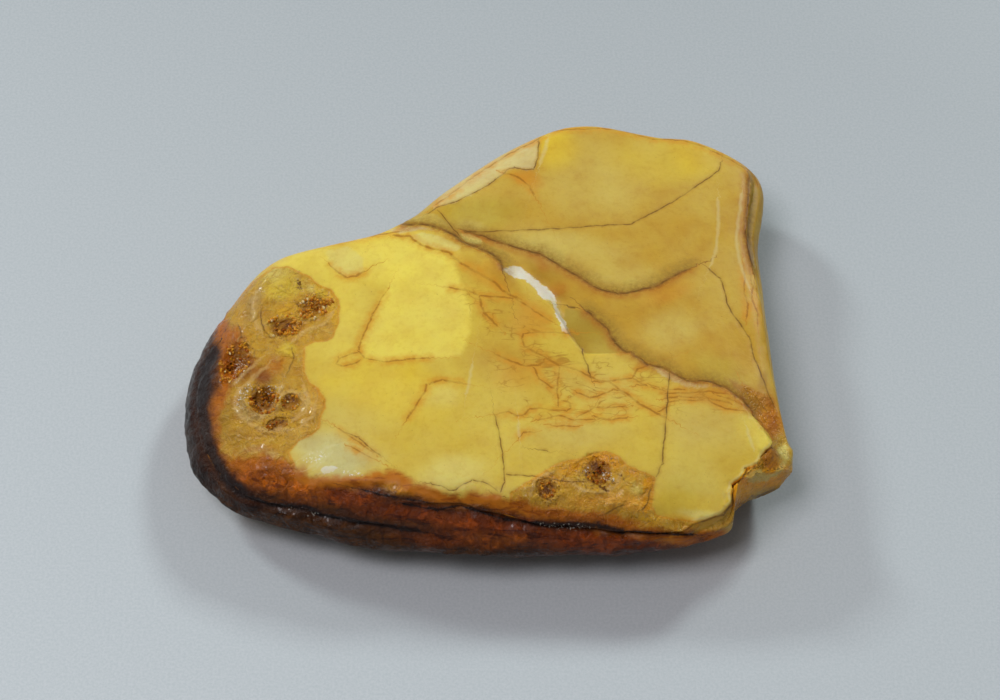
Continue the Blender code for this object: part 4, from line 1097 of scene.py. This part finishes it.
def line_mark(recipe, name, spread=0.0, shake=0.0, wavelength=0.5):
    """1 on a set of lines and 0 beside them, fading over the spread, with edges shaken by small noise."""
    offset = recipe.math("ABSOLUTE", recipe.attribute(name + "_offset"))
    if shake:
        offset = recipe.math("MULTIPLY_ADD", recipe.noise(wavelength, 4, 0.6), shake, offset)
        offset = recipe.math("SUBTRACT", offset, shake / 2)
    width = recipe.attribute(name + "_width")
    outer = recipe.math("ADD", width, LINE_FADE + spread)
    return recipe.between(offset, recipe.times(width, 0.3), outer, 1.0, 0.0)


def draw(recipe, colour, mark, ink, strength, patchy=None):
    """Draws a mark over a colour where the photograph's camera sees it, fainter where patchy is low."""
    share = recipe.times(mark, recipe.times(recipe.attribute("seen"), strength))
    if patchy is not None:
        share = recipe.times(share, patchy)
    return recipe.mix(share, colour, ink)


def border(recipe, name, soft, ragged):
    """1 inside a drawn outline and 0 outside it."""
    shake = recipe.math("SUBTRACT", recipe.noise(0.5, 4, 0.6), 0.5)
    return recipe.between(recipe.math("MULTIPLY_ADD", shake, ragged * 2, recipe.attribute(name)), -soft, soft)


def lay_zones(recipe, colour, zones):
    for name, zone in zones.items():
        share = recipe.times(border(recipe, name, zone.soft, zone.ragged), zone.strength)
        colour = recipe.mix(share, colour, paint(zone.colour))
    return colour


def face_colour(recipe):
    """The yellow faces: slab and plate, and what lies on them in its own colour."""
    colour = recipe.mix(border(recipe, "plate", 0.08, 0.1), recipe.attribute("slab_colour", True),
                        recipe.attribute("plate_colour", True))
    colour = lay_zones(recipe, colour, ZONES)
    clouds = recipe.blotches(3.5, 0.35, 0.75, 0.22, detail=4, roughness=0.6, distortion=0.4)
    colour = recipe.mix(clouds, colour, paint("orange"), "MULTIPLY")
    pale = recipe.blotches(9.0, 0.35, 0.65, 0.2, detail=2, roughness=0.5)
    colour = recipe.mix(pale, colour, paint("butter"))
    mottle = recipe.blotches(0.7, 0.45, 0.72, 0.35, detail=5, roughness=0.7, distortion=0.3)
    return recipe.tinted(mottle, colour, "mottle")


def crazing(recipe):
    """A fine net of broken cracks that run mostly along the slab, 1 on a crack."""
    wavy = recipe.noise(2.4, 2, 0.5, 0.8, recipe.stretched(0.42, 1.0, 1.0))
    apart = recipe.math("ABSOLUTE", recipe.math("SUBTRACT", wavy, 0.5))
    strings = recipe.highest(recipe.between(apart, 0.003, 0.014, 1.0, 0.0),
                             recipe.between(apart, 0.0, 0.06, 0.3, 0.0))
    strings = recipe.times(strings, recipe.blotches(3.0, 0.40, 0.55, detail=3, roughness=0.5))
    bent = recipe.tree.nodes.new("ShaderNodeVectorMath")
    bent.operation = "MULTIPLY_ADD"
    recipe.put(recipe.colour_noise(1.4), bent.inputs[0])
    bent.inputs[1].default_value = (1.6 * MM, 1.6 * MM, 1.6 * MM)
    recipe.put(recipe.stretched(0.6, 1.0, 1.0), bent.inputs[2])
    cells = recipe.tree.nodes.new("ShaderNodeTexVoronoi")
    cells.feature = "DISTANCE_TO_EDGE"
    cells.inputs["Scale"].default_value = 1 / (2.6 * MM)
    recipe.put(bent.outputs[0], cells.inputs["Vector"])
    cracks = recipe.between(cells.outputs["Distance"], 0.0, 0.04, 0.7, 0.0)
    cracks = recipe.times(cracks, recipe.blotches(3.0, 0.46, 0.56, detail=3, roughness=0.5))
    return recipe.highest(strings, cracks)


def draw_face_lines(recipe, colour, patchy):
    """Cracks, rust stains, seams and painted shadow lines with painted shade beside them, and pale streaks
    and painted highlights, over the yellow faces.
    """
    crazed = recipe.times(crazing(recipe), recipe.between(recipe.attribute("crazed"), -0.5, 2.0))
    colour = draw(recipe, colour, crazed, ink("crack"), 0.65)
    colour = draw(recipe, colour, line_mark(recipe, "stain", 1.1, 1.1, 0.8), paint("orange"), 0.7, patchy)
    colour = draw(recipe, colour, line_mark(recipe, "stain", 0.06, 0.24), ink("stain"), 0.66, patchy)
    speckled = recipe.between(recipe.noise(0.5, 5, 0.7), 0.32, 0.64, 0.45, 1.0)
    # a wide band of painted shade on one side of each seam and shadow line, an orange stain on the other side
    above = recipe.between(recipe.attribute("seam_and_shadow_line_offset"), -0.1, 0.3)
    shade = recipe.times(line_mark(recipe, "seam_and_shadow_line", 2.4, 1.6, 1.3), above)
    colour = draw(recipe, colour, shade, ink("shade_above_seam"), 0.85, speckled)
    shade = recipe.times(line_mark(recipe, "seam_and_shadow_line", 1.5, 1.6, 1.0), recipe.math("SUBTRACT", 1.0, above))
    colour = draw(recipe, colour, shade, ink("below_seam"), 0.9, speckled)
    fringe = line_mark(recipe, "seam_and_shadow_line", 0.35, 0.6, 0.6)
    colour = draw(recipe, colour, fringe, ink("beside_seam"), 0.6, speckled)
    colour = draw(recipe, colour, line_mark(recipe, "seam_and_shadow_line", -0.05, 0.3, 0.5), ink("seam_and_shadow_line"), 0.75, patchy)
    # pale streaks drawn in cream, in part painted highlights and glints
    return draw(recipe, colour, line_mark(recipe, "pale_streak_and_highlight", 0.2), paint("cream"), 0.33)


def agate_colour(recipe, knobs):
    """The knobbly stone round the vugs: painted darker brown in its dips as shade and paler on its knobs as
    highlight, fibrous and gritty.
    """
    vug = recipe.attribute("vug")
    colour = lay_zones(recipe, recipe.attribute("agate_colour", True), AGATE_ZONES)
    # painted shade in the dips of the bump relief and painted highlight on its knobs
    colour = recipe.tinted(recipe.between(knobs, 0.46, 0.32, 0.0, 0.6), colour, "dip_shade")
    colour = recipe.mix(recipe.between(knobs, 0.56, 0.70, 0.0, 0.2), colour, paint("butter"))
    layers = recipe.math("MULTIPLY_ADD", recipe.noise(1.2, 4, 0.6), 2.4, vug)
    fibres = recipe.between(recipe.math("SINE", recipe.times(layers, 13.0)), 0.3, 0.95)
    fibres = recipe.times(fibres, recipe.blotches(1.7, 0.40, 0.6, 0.45, detail=2))
    colour = recipe.mix(fibres, colour, paint("dun"))
    grain = recipe.blotches(0.6, 0.44, 0.62, 0.4, detail=6, roughness=0.75, distortion=0.6)
    colour = recipe.tinted(grain, colour, "grain")
    grit = recipe.times(recipe.blotches(0.3, 0.56, 0.64, detail=2, roughness=0.6),
                        recipe.between(vug, 1.2, 0.1, 0.0, 0.75))
    colour = recipe.mix(grit, colour, ink("grit"))
    # painted shade on the hollows' floors
    return recipe.mix(recipe.between(vug, 0.0, -0.7, 0.0, 0.7), colour, ink("vug_floor_shade"))


def draw_agate_lines(recipe, colour, patchy):
    """Ridges, the veins of the whole stone with painted shadow lines among them, pits, and an orange band
    just inside the rough stone's border.
    """
    colour = draw(recipe, colour, line_mark(recipe, "ridge", 0.25, 0.7, 0.7), paint("shell"), 0.5)
    # veins, and painted shadow lines under the lip and under the slab's broken edge
    colour = draw(recipe, colour, line_mark(recipe, "vein_and_shadow_line", 0.4, 0.4), ink("beside_vein"), 0.4, patchy)
    colour = draw(recipe, colour, line_mark(recipe, "vein_and_shadow_line"), ink("vein_and_shadow_line"), 0.8, patchy)
    hole = recipe.math("MULTIPLY_ADD", recipe.noise(0.32, 3, 0.7), 1.8, recipe.attribute("pit"))
    colour = recipe.mix(recipe.between(hole, 1.0, 0.6, 0.0, 0.9), colour, ink("pit"))
    bands = []
    for name in AGATES:
        inside = recipe.attribute(name)
        bands.append(recipe.times(recipe.between(inside, -0.15, 0.1), recipe.between(inside, 0.45, 0.1)))
    return recipe.mix(recipe.times(recipe.highest(*bands), 0.6), colour, paint("orange"))


def rind_colour(recipe):
    """The grooved side: brown skin, mottled up and down, cracked along its length, amber where it is thin,
    painted darker towards the floor as shade.
    """
    colour = recipe.attribute("skin_colour", True)
    dark = recipe.blotches(2.0, 0.42, 0.60, 0.7, detail=5, roughness=0.6, distortion=0.8,
                           place=recipe.stretched(1.1, 1.0, 0.5))
    colour = recipe.tinted(dark, colour, "dark")
    thin = recipe.blotches(1.3, 0.46, 0.64, 0.85, detail=5, roughness=0.65, distortion=0.6)
    colour = recipe.tinted(thin, colour, "glow")
    creases = recipe.blotches(0.9, 0.55, 0.61, 0.75, detail=5, roughness=0.6, distortion=0.5,
                              place=recipe.stretched(0.25, 1.0, 1.0))
    colour = recipe.tinted(creases, colour, "crease")
    grain = recipe.blotches(0.55, 0.45, 0.65, 0.5, detail=6, roughness=0.75, distortion=0.5)
    colour = recipe.tinted(grain, colour, "rind_grain")
    # painted shade: the side is darker towards the floor
    return recipe.tinted(recipe.between(recipe.attribute("height"), 9.0, 6.0, 0.0, 0.5), colour, "low")


def add_rind(recipe, colour, stained, skin):
    """An amber, streaked border where the faces turn into the rind, and then the rind itself."""
    colour = recipe.mix(recipe.times(stained, 0.9), colour, paint("amber"))
    streaks = recipe.blotches(0.9, 0.48, 0.62, 0.8, detail=6, roughness=0.7, distortion=0.5,
                              place=recipe.stretched(0.3, 1.0, 1.0))
    colour = recipe.tinted(recipe.times(stained, streaks), colour, "streak")
    return recipe.mix(skin, colour, rind_colour(recipe))


def hidden_colour(recipe):
    """The skin on the sides turned away: ochre deepening to brown in broad clouds, with darker grain."""
    clouds = recipe.blotches(8.0, 0.36, 0.62, 0.85, detail=4, roughness=0.5, distortion=0.3)
    colour = recipe.mix(clouds, paint("mustard"), paint("umber"))
    return recipe.mix(recipe.blotches(1.1, 0.48, 0.70, 0.45, detail=5, roughness=0.7), colour, paint("bark"))


def add_last_marks(recipe, colour):
    """The rind's grooves with painted shade in them, white specks painted as glints of light, and a few brown
    ones all over.
    """
    # painted shade in and beside the crevices, over their dark colour
    colour = draw(recipe, colour, line_mark(recipe, "shaded_groove", 1.0, 1.7, 0.9), ink("shade_beside_groove"), 0.6)
    colour = draw(recipe, colour, line_mark(recipe, "shaded_groove", 0.08, 0.8, 0.7), ink("shaded_groove"), 0.9)
    # white specks painted as glints of light, where the noise lets them through
    needed = recipe.between(recipe.noise(0.3, 4, 0.65), 0.62, 0.44)
    painted_glints = recipe.between(recipe.math("SUBTRACT", recipe.attribute("painted_glints"), needed), 0.02, 0.15, 0.0, 0.8)
    colour = recipe.mix(painted_glints, colour, paint("white"))
    return recipe.mix(recipe.blotches(0.28, 0.70, 0.78, 0.35, detail=2, roughness=0.5), colour, ink("speck"))


def finish(recipe, glossy, rough_stone, stained, knobs):
    """Waxy and smooth on the faces, bumpy on rough stone, with small wet glints on rind and agate."""
    grain = recipe.noise(0.16, 3, 0.6)
    roughness = recipe.between(rough_stone, 0.0, 1.0, 0.42, 0.18)
    roughness = recipe.math("ADD", roughness, recipe.times(recipe.math("SUBTRACT", grain, 0.5), 0.2))
    glints = recipe.times(glossy, recipe.between(recipe.noise(0.45, 4, 0.65), 0.54, 0.66, 0.04, 0.6))
    waxy = recipe.between(recipe.highest(rough_stone, stained), 0.0, 1.0, 0.5, 0.08)
    height = recipe.math("MULTIPLY_ADD", recipe.noise(0.8, 6, 0.65), 0.5, recipe.times(grain, 0.15))
    height = recipe.math("MULTIPLY_ADD", knobs, 1.2, height)
    recipe.set(Roughness=roughness, Coat_Weight=glints, Coat_Roughness=0.15, IOR=QUARTZ_IOR,
               Specular_IOR_Level=0.15, Subsurface_Weight=waxy, Subsurface_Radius=(1.0, 0.62, 0.22),
               Subsurface_Scale=1.1 * MM,
               Normal=recipe.bump(height, 0.5, recipe.between(rough_stone, 0.0, 1.0, 0.09, 1.0)))


def chalcedony():
    """The whole stone: yellow faces, rough stone round the vugs, broken end, rind and hidden skin."""
    recipe = Recipe("carnelian_chalcedony")
    patchy = recipe.between(recipe.noise(1.8, 3, 0.6), 0.38, 0.60, 0.35, 1.0)
    knobs = recipe.noise(1.3, 3, 0.55, 0.8)
    agate = recipe.highest(border(recipe, "left_agate", 0.35, 0.3), border(recipe, "front_agate", 0.5, 0.5))
    broken = recipe.between(recipe.attribute("break"), 0.0, 0.8, 0.0, 0.9)
    spread = recipe.math("MULTIPLY_ADD", recipe.noise(2.4, 5, 0.6), 2.8, recipe.attribute("skin"))
    stained = recipe.between(spread, 0.6, 1.9)
    skin = recipe.between(spread, 2.2, 3.8)
    unseen = recipe.math("SUBTRACT", 0.5, recipe.attribute("seen"))
    hidden = recipe.between(recipe.math("ADD", recipe.noise(1.5, 4, 0.6), unseen), 0.3, 0.9)

    colour = draw_face_lines(recipe, face_colour(recipe), patchy)
    cuts = recipe.blotches(0.9, 0.44, 0.62, detail=4, roughness=0.65, distortion=0.8,
                           place=recipe.stretched(0.7, 1.4, 1.0))
    colour = recipe.tinted(recipe.times(broken, cuts, 0.4), colour, "cut")
    colour = recipe.mix(recipe.times(agate, 0.92), colour, agate_colour(recipe, knobs))
    colour = draw_agate_lines(recipe, colour, patchy)
    colour = add_rind(recipe, colour, stained, skin)
    colour = recipe.mix(hidden, colour, hidden_colour(recipe))
    recipe.set(Base_Color=add_last_marks(recipe, colour))
    glossy = recipe.highest(skin, agate)
    finish(recipe, glossy, recipe.highest(glossy, broken, hidden), stained, knobs)
    return recipe.material


def crystal_glass():
    """Small quartz points: clear amber to dark brown, with a few painted nearly white as glints."""
    recipe = Recipe("carnelian_druse")
    tint = recipe.attribute("tint")
    colour = ink("dark_crystal")
    for name, low, high in CRYSTAL_SHADES:
        colour = recipe.mix(recipe.between(tint, low, high), colour, ink(name))
    red = recipe.blotches(0.7, 0.5, 0.65, 0.35, detail=3, roughness=0.6)
    colour = recipe.mix(red, colour, ink("red_crystal"))
    recipe.set(Base_Color=colour, Roughness=recipe.between(recipe.noise(0.2, 2), 0.3, 0.7, 0.15, 0.4),
               IOR=QUARTZ_IOR, Specular_IOR_Level=0.16, Subsurface_Weight=0.4,
               Subsurface_Radius=(1.0, 0.5, 0.15), Subsurface_Scale=0.8 * MM,
               Normal=recipe.bump(recipe.noise(0.12, 3, 0.6), 0.02, 0.5))
    return recipe.material


def floor_paint():
    """Pale grey with a fine speckle, painted a little darker towards the far right, away from the camera, as
    shade.
    """
    recipe = Recipe("studio_floor")
    colour = recipe.mix(recipe.blotches(0.35, 0.3, 0.7, detail=2, roughness=0.7), *map(ink, FLOOR_INKS))
    # painted shade: the floor darkens along its fall
    darker = recipe.math("MULTIPLY_ADD", recipe.along(*FLOOR_SHADE_FALL), 7.0, 0.5)
    recipe.set(Base_Color=recipe.tinted(darker, colour, "floor"), Roughness=0.5)
    return recipe.material


# ---------------------------------------------------------------- pieces

def dress_stone():
    stone = fine_copy(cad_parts["stone"], "carnelian")
    add_relief(stone.data)
    mark_stone(stone.data)
    stone.data.materials.append(chalcedony())
    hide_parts("stone")
    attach(stone, "root")
    return stone


def crystal(place, axis, width, length, spin):
    """Corners and faces of one six-sided point, sunk a little into the stone it grows on."""
    side = axis.orthogonal().normalized()
    other = axis.cross(side)
    angles = [spin + step * math.tau / 6 for step in range(6)]
    hexagon = [(side * math.cos(angle) + other * math.sin(angle)) * width / 2 for angle in angles]
    corners = [place - axis * length * 0.25 + out for out in hexagon]
    corners += [place + axis * length * 0.45 + out for out in hexagon]
    corners.append(place + axis * length)
    faces = [tuple(range(5, -1, -1))]
    for step in range(6):
        after = (step + 1) % 6
        faces.append((step, after, 6 + after, 6 + step))
        faces.append((6 + step, 6 + after, 12))
    return corners, faces


class Facets:
    """The faces of the dressed stone, as arrays: where they are, how they lie and how large they are."""

    def __init__(self, mesh):
        self.middles = self.read(mesh, "center")
        self.normals = self.read(mesh, "normal")
        self.areas = np.empty(len(mesh.polygons))
        mesh.polygons.foreach_get("area", self.areas)
        self.plan = wandered(on_drawing(self.middles)[:, :2], 0.35, 0.9, 60)

    @staticmethod
    def read(mesh, name):
        values = np.empty(len(mesh.polygons) * 3)
        mesh.polygons.foreach_get(name, values)
        return values.reshape(-1, 3)


def grow_druse(facets, name, vug, material, seed):
    """A crust of small crystals over the walls and floor of one hollow."""
    chance = np.random.default_rng(seed)
    inside = in_half_widths(facets.plan, vug)
    lined = np.flatnonzero((inside < vug.reach) & (facets.normals[:, 2] > 0))
    clusters = lumps(facets.plan[lined], 1.3, 61, 2)
    areas = facets.areas[lined] * smooth_step(clusters, -0.2, 0.25)
    count = int(areas.sum() / (CRYSTAL_SPACING * MM) ** 2)
    above = in_frame(np.array([*vug.middle, SIGHT_LEVEL + 2.0]))
    corners, faces, tints = [], [], []
    for index in chance.choice(lined, count, p=areas / areas.sum()):
        place = facets.middles[index]
        inward = (above - place) / np.linalg.norm(above - place)
        axis = Vector(facets.normals[index] + 0.5 * inward + chance.normal(0, 0.35, 3)).normalized()
        width = chance.uniform(*CRYSTAL_WIDTHS) * MM
        length = width * chance.uniform(0.8, 1.5)
        points, sides = crystal(Vector(place), axis, width, length, chance.uniform(0, math.tau))
        faces += [tuple(corner + len(corners) for corner in side) for side in sides]
        corners += points
        # crystals nearer a hollow's middle are painted darker as shade, and those at its rim lighter
        shade = 0.4 * (inside[index] - 0.6) + 0.4 * lumps(facets.plan[index:index + 1], 0.6, 62)[0]
        tint = vug.bright + shade + chance.normal(0, 0.12) if chance.uniform() > SPARKLING else 1.0
        tints += [tint] * len(points)
    crust = bpy.data.meshes.new(f"{name}_crystals")
    crust.from_pydata(corners, [], faces)
    write_values(crust, "tint", np.array(tints))
    crust.materials.append(material)
    piece = link(f"{name}_crystals", crust)
    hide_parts(f"druse_{name}_vug")
    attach(piece, "root")


# ---------------------------------------------------------------- stage

def add_world():
    world = bpy.data.worlds.new("studio")
    world.use_nodes = True
    background = world.node_tree.nodes["Background"]
    background.inputs["Color"].default_value = WORLD_COLOUR
    background.inputs["Strength"].default_value = WORLD_STRENGTH
    bpy.context.scene.world = world


def add_lamp(name, lamp):
    data = bpy.data.lights.new(name, "AREA")
    data.size = lamp.width
    data.energy = lamp.power
    data.color = lamp.colour
    light = link(name, data)
    light.location = lamp.place
    light.rotation_euler = (-Vector(lamp.place)).to_track_quat("-Z", "Y").to_euler()


def add_camera():
    data = bpy.data.cameras.new("camera")
    data.lens = LENS
    data.clip_start = 0.01
    camera = link("camera", data)
    camera.location = in_frame(SIGHT)
    camera.rotation_euler = (math.radians(CAMERA_PITCH), 0, 0)
    bpy.context.scene.camera = camera


def add_floor():
    mesh = bpy.data.meshes.new("floor")
    corners = [(-FLOOR_HALF, -FLOOR_HALF, 0), (FLOOR_HALF, -FLOOR_HALF, 0),
               (FLOOR_HALF, FLOOR_HALF, 0), (-FLOOR_HALF, FLOOR_HALF, 0)]
    mesh.from_pydata(corners, [], [(0, 1, 2, 3)])
    mesh.materials.append(floor_paint())
    floor = link("floor", mesh)


stone = dress_stone()
glass = crystal_glass()
facets = Facets(stone.data)
for seed, (vug_name, vug) in enumerate(VUGS.items()):
    grow_druse(facets, vug_name, vug, glass, seed)
add_world()
add_floor()
for lamp_name, lamp in LAMPS.items():
    add_lamp(lamp_name, lamp)
add_camera()
bpy.context.scene.view_settings.view_transform = "Standard"
